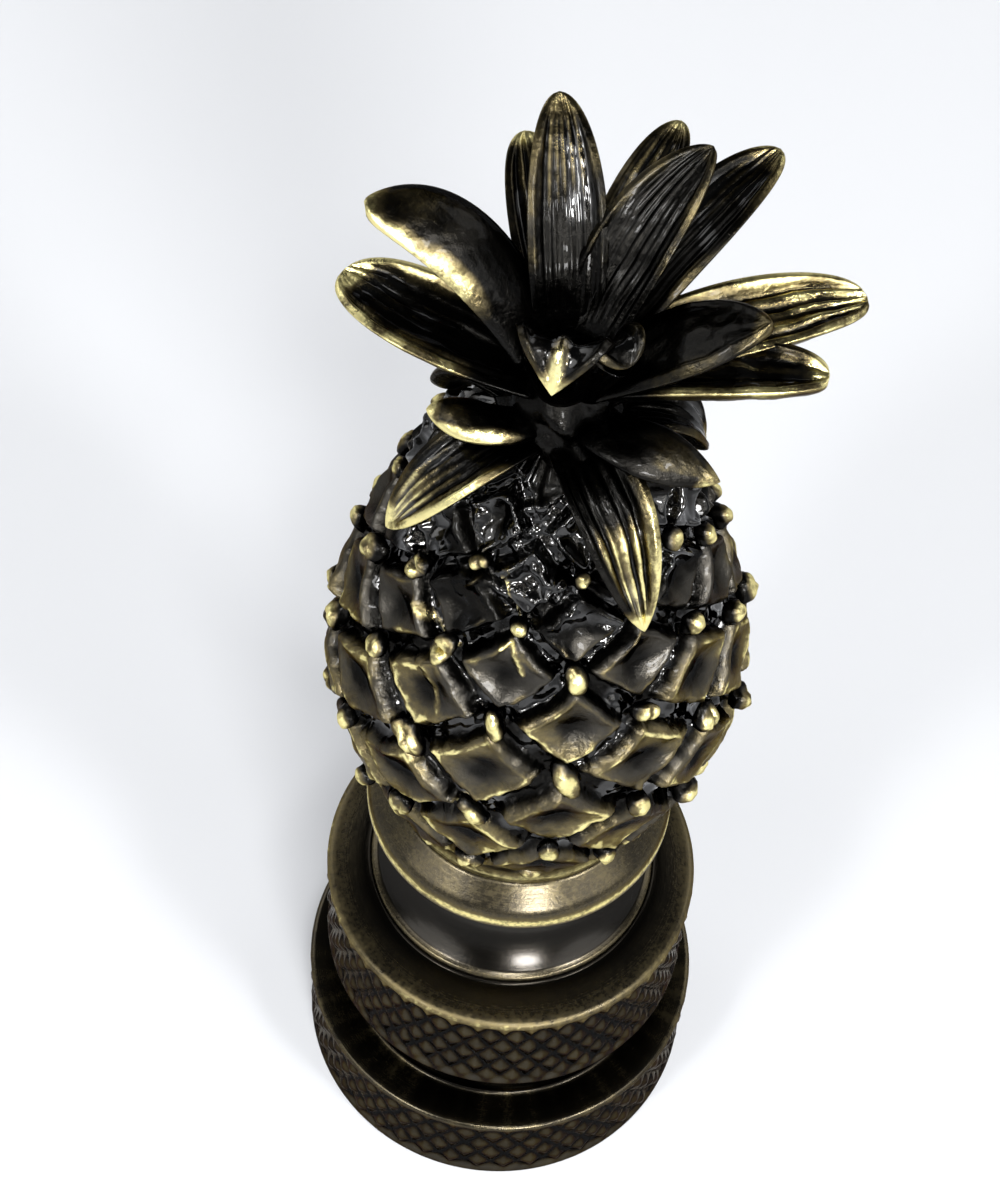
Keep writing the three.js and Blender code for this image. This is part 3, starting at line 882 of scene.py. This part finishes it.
def build_fruit(sizes, finish):
    fruit = Fruit(sizes)
    stops = tile_stops()
    steps = len(stops)
    sums = np.arange(steps * TILE_ROWS + 1)[:, None]
    turns = np.arange(steps * COLUMNS)[None, :]

    def place(step):
        return step // steps + stops[step % steps]

    right, left = np.broadcast_arrays(place(sums + turns), place(-turns))
    rows, sides = right + left, right - left
    flat = fruit.at(rows, sides)
    drift = [DRIFT * ripple(flat, DRIFT_SIZE, seed) * smooth(0.0, 1.0, rows) for seed in DRIFT_SEEDS]
    raised, worn, hollow = tile_relief(sizes, right, left, flat, rows, sides)
    skin = fruit.at(np.clip(rows + drift[0], 0.0, TILE_ROWS), sides + drift[1], raised)

    build = Build()
    build.add(skin, skin_faces(*rows.shape), worn.ravel(), hollow.ravel())
    last = np.arange(build.count - turns.size, build.count)
    add_foot(build, sizes, fruit.degrees(rows[0], sides[0]))
    build.add([(0.0, 0.0, FRUIT_LOW.z + sizes.height + TOP_RISE * MM)], [], 0.0, 0.8)
    build.join(fan_faces(last, build.count - 1))
    return build.piece("fruit_body", cast_brass(finish), "cast_brass", "pineapple")


# The bumps

# Points around each ring of a bump, degrees from its top down to each ring, and the height of its buried end
BUMP_SIDES = 22
BUMP_RINGS = (118, 104, 91, 79, 68, 58, 48, 38, 29, 20, 10)
BURIED_END = -0.6

# The bumps from this row up are smaller
HIGH_BUMP_ROW = 7
HIGH_BUMP_SHARE = 0.85

# Ranges of chance in the bumps: radius, stand, length and wear as shares, lean in radians, and tilt
RADIUS_RANGE = (0.84, 1.08)
STAND_RANGE = (0.8, 1.1)
LENGTH_RANGE = (0.95, 1.2)
WEAR_RANGE = (0.75, 1.0)
LEAN_SPREAD = 0.2
TILT_SPREAD = 0.14

# Size of the swells on a bump, of its fine dents and of its worn patches, and a slot's width, in millimetres
BUMP_SWELL = 1.2
BUMP_DENT = 0.5
BUMP_PATCH = 0.7
SLOT_WIDTH = 0.14

# Seeds for what differs from bump to bump, and for the swells on the first bump
CHANCE_SEED = 31
BUMP_SEED = 400


@dataclass
class BumpForm:
    """A bump that stands out from the rest.

    Slot is the depth in millimetres of a groove along it. Lean is in degrees, and the rest are shares.
    """

    width: float = 1.0
    height: float = 1.0
    lean: float = 0.0
    slot: float = 0.0
    stand: float = 1.0


# Bumps on the photographed side, by row and side
BUMP_FORMS = {
    (1, -1): BumpForm(1.0, 1.1, -30, 0.12),
    (1, 1): BumpForm(0.8, 0.9, 20),
    (2, 0): BumpForm(0.85, 1.1, 10),
    (2, -2): BumpForm(0.95, 1.0, -20, 0.12),
    (3, -1): BumpForm(0.7, 1.75, 38, 0.0, 0.8),
    (3, 1): BumpForm(0.95, 1.1, -20),
    (3, 3): BumpForm(1.1, 1.0, 20, 0.12),
    (4, 0): BumpForm(0.85, 1.7, 16, 0.0, 0.9),
    (4, -2): BumpForm(1.25, 1.45, 24, 0.34),
    (2, -4): BumpForm(1.1, 1.1, 0.0, 0.1, 1.2),
    (4, 2): BumpForm(1.15, 1.35, -28, 0.3),
    (5, -1): BumpForm(0.7, 1.5, 30, 0.0, 0.8),
    (5, 1): BumpForm(1.1, 0.9, -20, 0.16),
    (5, -3): BumpForm(1.05, 0.95, 10, 0.12),
    (6, 0): BumpForm(0.7, 1.25, 14, 0.0, 0.85),
    (6, -2): BumpForm(1.35, 0.85, 62, 0.42),
    (7, -3): BumpForm(1.45, 1.15, 70, 0.3, 1.1),
    (7, -1): BumpForm(0.8, 0.7, 20, 0.0, 0.7),
    (7, 1): BumpForm(0.8, 1.0, 0.0, 0.0, 0.8),
    (8, 0): BumpForm(0.7, 0.7, 0.0, 0.0, 0.5),
    (8, -2): BumpForm(1.0, 0.7, 40, 0.2, 0.7),
}
PLAIN_BUMP = BumpForm()


def bump_dome():
    """A ball's points, from its buried side to its top, its closing points last, and its faces."""
    angles = np.linspace(0.0, 2.0 * math.pi, BUMP_SIDES, endpoint=False)
    down = np.radians(BUMP_RINGS)[:, None]
    parts = np.sin(down) * np.cos(angles), np.sin(down) * np.sin(angles), np.cos(down)
    dome = np.stack(np.broadcast_arrays(*parts), axis=-1).reshape(-1, 3)
    dome = np.concatenate([dome, [(0.0, 0.0, 1.0), (0.0, 0.0, BURIED_END)]])
    first, last = np.arange(BUMP_SIDES), np.arange(BUMP_SIDES) + (len(BUMP_RINGS) - 1) * BUMP_SIDES
    faces = [
        grid_faces(len(BUMP_RINGS), BUMP_SIDES),
        fan_faces(last, len(dome) - 2),
        fan_faces(first, len(dome) - 1, flip=True),
    ]
    return dome, faces


def add_bump(build, fruit, row, side, random):
    sizes = fruit.sizes
    dome, faces = bump_dome()
    front_side = (side + COLUMNS) % (2 * COLUMNS) - COLUMNS
    form = BUMP_FORMS.get((row, front_side), PLAIN_BUMP)
    out = fruit.outward(row, side)
    sideways = np.cross((0.0, 0.0, 1.0), out)
    sideways /= np.linalg.norm(sideways)
    upward = np.cross(out, sideways)

    radius = sizes.bump_radius * random.uniform(*RADIUS_RANGE)
    radius *= 1.0 if row < HIGH_BUMP_ROW else HIGH_BUMP_SHARE
    stand = sizes.bump_stand * random.uniform(*STAND_RANGE) * form.stand
    slant = math.radians(form.lean) + random.normal() * LEAN_SPREAD
    local = dome * radius * (form.width, form.height * random.uniform(*LENGTH_RANGE), 1.0)
    seed = BUMP_SEED + 10 * (row * COLUMNS + side)
    swell, dent = ripple(local, BUMP_SWELL, seed), ripple(local, BUMP_DENT, seed + 1)
    local *= (1.0 + 0.12 * swell + 0.05 * dent)[:, None]
    top = smooth(0.0, 0.8, dome[:, 2])
    slot = line_at(local[:, 0], 0.1 * radius, SLOT_WIDTH * MM) * top
    local[:, 2] -= form.slot * MM * slot
    turn = np.array([[math.cos(slant), math.sin(slant)], [-math.sin(slant), math.cos(slant)]])
    local[:, :2] = local[:, :2] @ turn + np.outer(local[:, 2], random.normal(size=2) * TILT_SPREAD)

    points = fruit.at(row, side, stand - radius) + local @ np.stack([sideways, upward, out])
    bright = smooth(0.15, 1.0, dome[:, 2])
    worn = bright * mix(1.1, 0.8, smooth(6.0, 8.5, row)) * random.uniform(*WEAR_RANGE)
    patchy = 0.9 + 0.25 * ripple(local, BUMP_PATCH, seed + 2)
    worn = worn * patchy * (1.0 - 0.5 * slot * (form.slot > 0))
    build.add(points, faces, worn, 1.0 - top)


def build_bumps(sizes, finish):
    fruit = Fruit(sizes)
    random = np.random.default_rng(CHANCE_SEED)
    build = Build()
    for row in range(BUMP_ROWS):
        for step in range(COLUMNS):
            add_bump(build, fruit, row, 2 * step + row % 2, random)
    return build.piece("fruit_bumps", cast_brass(finish), "cast_brass", "pineapple")


# The crown

# Steps along a leaf and across its upper and lower face, and how much the steps close up towards the tip
LEAF_STEPS = 52
UPPER_STEPS = 48
LOWER_STEPS = 14
TIP_CROWDING = 0.6

# Shares of a leaf's full width at its root, and of its wear underneath
ROOT_WIDTH = 0.78
BENEATH_WEAR = 0.6

# Millimetres in from a leaf's edge: where the lines start and are full, where the swells are full, and where
# the rolled rim is. Then the widths of that rim and of the keel.
BORDER = (0.2, 0.6)
SWELL_BORDER = 0.5
ROLL_INSET = 0.3
ROLL_WIDTH = 0.16
KEEL_WIDTH = 0.3

# Sizes of the waver in a leaf's lines, its swells, its worn patches and its pools of lacquer, in millimetres
LINE_WAVER = (5.0, 1.6)
LEAF_SWELL = (2.4, 0.6)
LEAF_PATCH = 2.4
LEAF_POOL = 2.2

# Seed of the first leaf, and the step from each leaf's to the next
LEAF_SEED = 100
SEED_STEP = 10


@dataclass
class Leaf:
    """One leaf. Places and width are shares of the crown's reach, and turns are degrees from the front.

    Ribs counts the lines to each side of the middle, and carve is their depth. The edges curl up where arch
    is below 0. Keel, gilt and wet say how strong the ridge, the gold and the gloss are.
    """

    turn: float
    tip_turn: float
    bend: tuple
    tip: tuple
    width: float
    ribs: int = 7
    carve: float = 1.0
    arch: float = -1.0
    point: float = 0.48
    keel: float = 0.0
    gilt_tip: float = 0.6
    gilt_left: float = 0.3
    gilt_right: float = 0.3
    gilt_ribs: float = 0.3
    wet: float = 0.7


@dataclass
class Tier:
    """Leaves that grow from the same height on the stem. widest is where a leaf has its full width."""

    root: tuple
    widest: float
    leaves: tuple


TIERS = (
    Tier((0.14, 0.03), 0.34, (
        Leaf(
            26, 33, (0.52, 0.20), (0.65, -0.39), 0.27, 6, 2.0,
            point=0.68, gilt_tip=1.15, gilt_left=0.1, gilt_right=1.0, gilt_ribs=1.1,
        ),
        Leaf(100, 100, (0.43, 0.16), (0.50, -0.17), 0.25),
        Leaf(160, 158, (0.52, 0.17), (0.65, -0.33), 0.30),
        Leaf(212, 206, (0.50, 0.19), (0.63, -0.28), 0.29),
        Leaf(-122, -120, (0.41, 0.16), (0.50, -0.20), 0.25),
        Leaf(
            -50, -61, (0.44, 0.13), (0.62, -0.31), 0.25, 7, 0.6,
            point=0.6, gilt_tip=1.15, gilt_right=1.35, gilt_ribs=0.9,
        ),
    )),
    Tier((0.13, 0.13), 0.45, (
        Leaf(
            50, 67, (0.33, 0.25), (0.58, 0.06), 0.22, 0,
            arch=0.7, wet=0.0, point=0.7, gilt_tip=1.1, gilt_left=0.14, gilt_right=0.1,
        ),
        Leaf(118, 118, (0.41, 0.33), (0.66, 0.13), 0.27),
        Leaf(180, 178, (0.41, 0.33), (0.69, 0.11), 0.28),
        Leaf(-130, -130, (0.39, 0.33), (0.61, 0.19), 0.27),
        Leaf(
            -45, -72, (0.31, 0.25), (0.46, 0.16), 0.17, 0,
            arch=0.5, wet=0.0, gilt_tip=1.2, gilt_left=0.45, gilt_right=1.6,
        ),
    )),
    Tier((0.10, 0.24), 0.5, (
        Leaf(88, 90, (0.46, 0.41), (0.83, 0.39), 0.24, 4, 0.6, point=0.36, gilt_tip=1.1, gilt_left=1.0),
        Leaf(
            108, 110, (0.50, 0.44), (1.0, 0.38), 0.30, 5, 2.2,
            point=0.38, gilt_tip=1.0, gilt_left=0.9, gilt_right=0.8, gilt_ribs=1.1,
        ),
        Leaf(140, 141, (0.50, 0.58), (0.97, 0.58), 0.25, 8, 0.8, gilt_tip=0.9, gilt_left=0.5, gilt_ribs=0.3),
        Leaf(163, 162, (0.47, 0.50), (0.91, 0.54), 0.22, 7, 0.8, gilt_tip=0.9, gilt_ribs=0.5),
        Leaf(-163, -163, (0.43, 0.50), (0.78, 0.54), 0.23, 5, gilt_tip=0.8, gilt_ribs=0.4),
        Leaf(
            -96, -110, (0.44, 0.35), (0.81, 0.30), 0.34, 7, 0.9,
            point=0.42, gilt_tip=1.1, gilt_left=0.9, gilt_right=1.0,
        ),
    )),
    Tier((0.08, 0.30), 0.42, (
        Leaf(
            -6, -7, (0.19, 0.90), (0.32, 0.54), 0.31, 2, 0.7,
            point=0.85, keel=1.0, gilt_tip=0.9, gilt_left=0.2, gilt_right=0.2, gilt_ribs=0.0,
        ),
        Leaf(40, 44, (0.19, 0.76), (0.28, 0.58), 0.22, 2, 0.5, gilt_tip=0.2, gilt_ribs=0.0),
        Leaf(
            84, 82, (0.33, 0.61), (0.61, 0.73), 0.32, 3, 0.25,
            arch=0.5, point=0.7, wet=0.0, gilt_tip=0.5, gilt_left=0.3, gilt_right=0.1, gilt_ribs=0.0,
        ),
        Leaf(
            151, 142, (0.30, 0.69), (0.61, 0.86), 0.27, 9, 1.5,
            point=0.6, wet=0.1, gilt_tip=0.2, gilt_ribs=0.06,
        ),
        Leaf(-171, -169, (0.28, 0.69), (0.65, 0.86), 0.26, 9, 0.9, point=0.5, gilt_tip=0.7, gilt_ribs=0.4),
        Leaf(
            -122, -105, (0.41, 0.80), (0.71, 0.76), 0.28, 0,
            arch=0.9, wet=0.0, point=0.42, gilt_tip=1.2, gilt_left=0.05, gilt_right=1.5,
        ),
    )),
)


def leaf_width(along, widest, point):
    """Share of a leaf's full width along its length. A small point makes a blunt tip."""
    opening = np.sin(math.pi / 2 * np.minimum(1.0, along / widest))
    past = np.clip((along - widest) / (1.0 - widest), 0.0, 1.0)
    return mix(ROOT_WIDTH, 1.0, opening) * (1.0 - past**2) ** point


def leaf_path(along, root, bend, tip):
    """Points and directions along a leaf's middle."""
    point = (1 - along) ** 2 * root + 2 * along * (1 - along) * bend + along**2 * tip
    forward = 2 * (1 - along) * (bend - root) + 2 * along * (tip - bend)
    return point, forward / np.linalg.norm(forward, axis=-1, keepdims=True)


def leaf_ribs(leaf, along, side, spots, seed):
    """0 along the uneven lines engraved down a leaf and 1 on the ridges between them."""
    waver = 0.2 * ripple(spots, LINE_WAVER[0], seed) + 0.07 * ripple(spots, LINE_WAVER[1], seed + 3)
    phase = (leaf.ribs + 0.5) * side * (1.0 - 0.12 * along) + waver
    uneven = 0.62 + 0.38 * np.sin(2.3 * leaf.ribs * side + seed + 1.5 * along)
    return 1.0 - uneven * (0.5 - 0.5 * np.cos(math.pi * phase))


def leaf_wear(leaf, along, side, wave, rim, inner, keel):
    """How bright each spot of a leaf's upper face is worn."""
    towards_tip = smooth(0.3, 0.85, along)
    off_root = smooth(0.12, 0.4, along)
    right, left = smooth(0.35, 0.95, side), smooth(0.35, 0.95, -side)
    marks = (
        leaf.gilt_tip * smooth(0.84, 0.985, along),
        (leaf.gilt_right * right + leaf.gilt_left * left) * mix(0.55, 1.0, towards_tip) * off_root,
        leaf.gilt_ribs * wave**2 * inner * towards_tip,
        0.7 * rim * (leaf.gilt_right * (side > 0) + leaf.gilt_left * (side < 0)) * off_root,
        1.2 * leaf.keel * keel * smooth(0.35, 0.7, along),
    )
    return np.maximum.reduce(np.broadcast_arrays(*marks))


def leaf_surface(tier, leaf, reach, ends):
    """Shares along and across a leaf and of its width, its half width, its plain surface and its facing."""
    even = np.linspace(0.0, 1.0, LEAF_STEPS, endpoint=False)
    along = mix(even, np.sin(math.pi / 2 * even), TIP_CROWDING)[:, None]
    middle, forward = leaf_path(along[..., None], *ends)
    turn = math.radians(leaf.turn)
    face = np.cross(forward, (math.cos(turn), math.sin(turn), 0.0))
    face /= np.linalg.norm(face, axis=-1, keepdims=True)
    upper = np.sin(np.linspace(math.pi / 2, -math.pi / 2, UPPER_STEPS + 1))
    lower = np.sin(np.linspace(-math.pi / 2, math.pi / 2, LOWER_STEPS + 1))[1:-1]
    side = np.concatenate([upper, lower])[None, :]
    share = leaf_width(along, tier.widest, leaf.point)
    half = share * leaf.width * reach / 2
    return along, side, share, half, middle + np.cross(face, forward) * (side * half)[..., None], face


def leaf_relief(sizes, leaf, along, side, share, half, spots, seed):
    """Heights of a leaf's upper and lower face over its plain surface, and how worn and how hollow it is."""
    inset = half * (1.0 - np.abs(side))
    closing = (1.0 - np.sqrt(np.maximum(0.0, 1.0 - np.abs(side) ** 5))) * sizes.edge_thickness / 2
    thick = mix(mix(sizes.edge_thickness, sizes.leaf_thickness, share), sizes.edge_thickness, side**2)
    rise = -leaf.arch * sizes.cup * share * side**2
    wave = leaf_ribs(leaf, along, side, spots, seed) if leaf.ribs else np.ones_like(half * side)
    inner = smooth(BORDER[0] * MM, BORDER[1] * MM, inset) * smooth(0.05, 0.3, along)
    rim = line_at(inset, ROLL_INSET * MM, ROLL_WIDTH * MM) * smooth(0.1, 0.4, along) * min(1, leaf.ribs)
    keel = line_at(side * half, 0.0, KEEL_WIDTH * MM)
    swell = 0.05 * ripple(spots, LEAF_SWELL[0], seed + 1) + 0.014 * ripple(spots, LEAF_SWELL[1], seed + 4)
    swell = swell * MM * smooth(0.0, SWELL_BORDER * MM, inset)

    raised = rise - closing - sizes.rib_depth * leaf.carve * (1.0 - wave) * inner + swell
    raised = raised + sizes.rim_height * rim * share + sizes.keel_height * leaf.keel * keel * share
    sunk = rise - thick + closing + swell - 0.5 * sizes.rib_depth * wave * inner

    worn = leaf_wear(leaf, along, side, wave, rim, inner, keel)
    worn = worn * (0.85 + 0.28 * ripple(spots, LEAF_PATCH, seed + 2))
    hollow = mix(0.6 + 0.4 * (1.0 - wave) * inner, 1.0, 1.0 - smooth(0.2, 0.55, along))
    pools = smooth(-0.5, 0.7, ripple(spots, LEAF_POOL, seed + 5))
    hollow = hollow + 1.3 * leaf.wet * inner * smooth(0.4, 0.56, along) * pools
    return raised, sunk, worn, hollow


def add_leaf(build, sizes, tier, leaf, crown_z, seed):
    places = (tier.root, leaf.turn), (leaf.bend, leaf.turn), (leaf.tip, leaf.tip_turn)
    ends = [around(out * sizes.reach, turn, crown_z + up * sizes.reach) for (out, up), turn in places]
    along, side, share, half, spots, face = leaf_surface(tier, leaf, sizes.reach, ends)
    raised, sunk, worn, hollow = leaf_relief(sizes, leaf, along, side, share, half, spots, seed)
    is_upper = (np.arange(side.size) <= UPPER_STEPS)[None, :]
    points = spots + face * np.where(is_upper, raised, sunk)[..., None]
    worn = np.where(is_upper, worn, BENEATH_WEAR * worn)

    rows, columns = along.size, side.size
    root, tip = leaf_path(np.array([[0.0], [1.0]]), *ends)[0]
    points = np.concatenate([points.reshape(-1, 3), [root, tip]])
    worn, hollow = (np.broadcast_to(mark, (rows, columns)).ravel() for mark in (worn, hollow))
    faces = [
        grid_faces(rows, columns),
        fan_faces(np.arange(columns) + (rows - 1) * columns, len(points) - 1),
        fan_faces(np.arange(columns), len(points) - 2, flip=True),
    ]
    build.add(points, faces, np.append(worn, [0.0, leaf.gilt_tip]), np.append(hollow, [0.8, 0.0]))


STEM_STEPS = 28
STEM_SIDES = 64

# How far up the stem its sides stay upright, how much it narrows, and its least radius in millimetres
STEM_UPRIGHT = -0.2
STEM_TAPER = 0.35
STEM_LEAST = 0.05

# How strong the stem's lumps are, their size in millimetres and the seed that places them
STEM_LUMPS = 0.16
STEM_LUMP_SIZE = 2.0
STEM_SEED = 91


def add_stem(build, sizes, crown_z):
    """The lumpy stem that the leaves grow from."""
    share = np.linspace(-1.0, 1.0, STEM_STEPS)[:, None]
    degrees = np.linspace(0.0, 360.0, STEM_SIDES, endpoint=False)[None, :]
    radius = sizes.stem_radius * np.sqrt(np.maximum(0.0, 1.0 - np.maximum(share, STEM_UPRIGHT) ** 4))
    radius = radius * (1.0 - STEM_TAPER * np.maximum(share, 0.0)) + STEM_LEAST * MM
    z = crown_z + share * sizes.stem_height
    plain = around(radius, degrees, z)
    lumpy = radius * (1.0 + STEM_LUMPS * ripple(plain, STEM_LUMP_SIZE, STEM_SEED))
    points = around(lumpy, degrees, z)
    count = points.shape[0] * STEM_SIDES
    build.add(
        np.concatenate([points.reshape(-1, 3), [(0, 0, z[0, 0]), (0, 0, z[-1, 0])]]),
        [
            grid_faces(STEM_STEPS, STEM_SIDES),
            fan_faces(np.arange(STEM_SIDES), count, flip=True),
            fan_faces(np.arange(STEM_SIDES) + count - STEM_SIDES, count + 1),
        ],
        0.05,
        0.85,
    )


def build_crown(crown, fruit, finish):
    build = Build()
    crown_z = FRUIT_LOW.z + fruit.height
    add_stem(build, crown, crown_z)
    seed = LEAF_SEED
    for tier in TIERS:
        for leaf in tier.leaves:
            add_leaf(build, crown, tier, leaf, crown_z, seed)
            seed += SEED_STEP
    return build.piece("crown_leaves", cast_brass(finish), "cast_brass", "pineapple")


# The studio

# The photograph's camera: its place and lens in millimetres, and its turns in degrees. It looks down by the
# pitch and to the right of +Y by the yaw, and leans to its own left by the roll.
CAMERA_PLACE = (0.0, -68.13, 152.13)
CAMERA_PITCH = 57.68
CAMERA_YAW = -1.58
CAMERA_ROLL = 5.20
LENS = 82.46
SENSOR = 36.0

# The floor and the wall around it, in metres
FLOOR_MIDDLE = 0.06
FLOOR_RADIUS = 0.5
WALL_HEIGHT = 0.3
WALL_ROUNDING = 0.18
SWEEP_STEPS = 96
BEND_STEPS = 16
ROOM_LIGHT = (0.66, 0.67, 0.68, 1.0)
ROOM_STRENGTH = 0.08
LIGHT_AIM = (0.0, 0.0, 0.04)

# Oval soft boxes and small lamps: name, place, width and height in metres, brightness beside a white wall
SOFT_BOXES = (
    ("front_left", (-0.38, -0.34, 0.42), (0.50, 0.40), 2.0),
    ("front_right", (0.44, -0.26, 0.40), (0.46, 0.40), 1.8),
    ("back_left", (-0.44, 0.32, 0.38), (0.38, 0.30), 1.5),
    ("back_right", (0.46, 0.32, 0.38), (0.38, 0.30), 1.5),
    ("key", (0.113, -0.349, 0.224), (0.11, 0.05), 72.0),
    ("spark_high", (0.04, -0.25, 0.42), (0.062, 0.062), 58.0),
    ("spark_left", (-0.20, -0.27, 0.33), (0.062, 0.062), 52.0),
    ("spark_right", (0.24, -0.20, 0.33), (0.062, 0.062), 58.0),
)


def build_floor(finish):
    """A round floor that curves up into a wall on every side."""
    bend = np.linspace(0.0, math.pi / 2, BEND_STEPS)
    radius = np.concatenate([[FLOOR_MIDDLE], FLOOR_RADIUS + WALL_ROUNDING * np.sin(bend)])
    z = np.concatenate([[0.0], WALL_ROUNDING * (1.0 - np.cos(bend))])
    radius = np.append(radius, radius[-1])
    z = np.append(z, WALL_HEIGHT)
    degrees = np.linspace(0.0, 360.0, SWEEP_STEPS, endpoint=False)[None, :]
    points = around(radius[:, None], degrees, z[:, None]).reshape(-1, 3)
    points = np.concatenate([points, [(0.0, 0.0, 0.0)]])
    faces = grid_faces(len(radius), SWEEP_STEPS).tolist()
    faces += fan_faces(np.arange(SWEEP_STEPS), len(points) - 1, flip=True).tolist()
    mesh = bpy.data.meshes.new("studio_floor")
    mesh.from_pydata(points.tolist(), [], faces)
    mesh.polygons.foreach_set("use_smooth", [True] * len(mesh.polygons))
    mesh.materials.append(plain_floor(finish))
    floor = bpy.data.objects.new("studio_floor", mesh)
    bpy.context.scene.collection.objects.link(floor)


def build_lights():
    for name, place, (width, height), brightness in SOFT_BOXES:
        lamp = bpy.data.lights.new(name, "AREA")
        lamp.shape = "ELLIPSE"
        lamp.size, lamp.size_y = width, height
        lamp.energy = math.pi * width * height * brightness
        box = bpy.data.objects.new(name, lamp)
        box.location = place
        box.rotation_euler = (Vector(LIGHT_AIM) - Vector(place)).to_track_quat("-Z", "Y").to_euler()
        bpy.context.scene.collection.objects.link(box)
    world = bpy.data.worlds.new("studio_room")
    world.use_nodes = True
    background = world.node_tree.nodes["Background"]
    background.inputs["Color"].default_value = ROOM_LIGHT
    background.inputs["Strength"].default_value = ROOM_STRENGTH
    bpy.context.scene.world = world
    bpy.context.scene.view_settings.view_transform = "Standard"


def build_camera():
    """The photograph's view: from the front, high up and slightly rolled."""
    pitch, yaw, roll = (math.radians(angle) for angle in (CAMERA_PITCH, CAMERA_YAW, CAMERA_ROLL))
    forward = Vector((math.sin(yaw) * math.cos(pitch), math.cos(yaw) * math.cos(pitch), -math.sin(pitch)))
    level = Vector((math.cos(yaw), -math.sin(yaw), 0.0))
    upright = level.cross(forward)
    right = level * math.cos(roll) + upright * math.sin(roll)
    up = upright * math.cos(roll) - level * math.sin(roll)
    lens = bpy.data.cameras.new("photograph_view")
    lens.lens, lens.sensor_width = LENS, SENSOR
    lens.clip_start, lens.clip_end = 1.0 * MM, 10.0
    camera = bpy.data.objects.new("photograph_view", lens)
    turned = Matrix((right, up, -forward)).transposed().to_4x4()
    camera.matrix_world = Matrix.Translation(Vector(CAMERA_PLACE) * MM) @ turned
    bpy.context.scene.collection.objects.link(camera)
    bpy.context.scene.camera = camera


# Operators and panel


class FinialBuildBase(bpy.types.Operator):
    """Build the turned base with its knurled bands, neck and collar"""

    bl_idname = "finial.build_base"
    bl_label = "Base"

    def execute(self, context):
        build_base(context.scene.finial.base, context.scene.finial.finish)
        return {"FINISHED"}


class FinialBuildFruit(bpy.types.Operator):
    """Build the cast fruit with its tiles, frames and grooves"""

    bl_idname = "finial.build_fruit"
    bl_label = "Fruit"

    def execute(self, context):
        build_fruit(context.scene.finial.fruit, context.scene.finial.finish)
        return {"FINISHED"}


class FinialBuildBumps(bpy.types.Operator):
    """Build the bumps where the fruit's grooves cross"""

    bl_idname = "finial.build_bumps"
    bl_label = "Bumps"

    def execute(self, context):
        build_bumps(context.scene.finial.fruit, context.scene.finial.finish)
        return {"FINISHED"}


class FinialBuildCrown(bpy.types.Operator):
    """Build the crown of leaves"""

    bl_idname = "finial.build_crown"
    bl_label = "Crown"

    def execute(self, context):
        settings = context.scene.finial
        build_crown(settings.crown, settings.fruit, settings.finish)
        return {"FINISHED"}


class FinialBuildStage(bpy.types.Operator):
    """Set the floor, the soft boxes and the camera"""

    bl_idname = "finial.build_stage"
    bl_label = "Stage"

    def execute(self, context):
        build_floor(context.scene.finial.finish)
        build_lights()
        build_camera()
        return {"FINISHED"}


OPERATORS = (FinialBuildBase, FinialBuildFruit, FinialBuildBumps, FinialBuildCrown, FinialBuildStage)


class FinialPanel(bpy.types.Panel):
    """Sizes, colours and build steps of the finial"""

    bl_idname = "VIEW3D_PT_finial"
    bl_label = "Pineapple Finial"
    bl_space_type = "VIEW_3D"
    bl_region_type = "UI"
    bl_category = "Finial"

    def draw(self, context):
        settings = context.scene.finial
        for title in ("base", "fruit", "crown", "finish"):
            group = getattr(settings, title)
            box = self.layout.box()
            box.label(text=title.capitalize())
            for name in group.bl_rna.properties.keys():
                if name not in ("rna_type", "name"):
                    box.prop(group, name)
        for operator in OPERATORS:
            self.layout.operator(operator.bl_idname)


GROUPS = (FinialBaseSizes, FinialFruitSizes, FinialCrownSizes, FinialFinish, FinialSettings)
CLASSES = (*GROUPS, *OPERATORS, FinialPanel)


def register():
    for part in CLASSES:
        bpy.utils.register_class(part)
    bpy.types.Scene.finial = PointerProperty(type=FinialSettings)


def unregister():
    del bpy.types.Scene.finial
    for part in reversed(CLASSES):
        bpy.utils.unregister_class(part)


def main():
    register()
    for name in ("base", "fruit", "bumps", "crown", "stage"):
        getattr(bpy.ops.finial, f"build_{name}")()


if __name__ == "__main__":
    main()
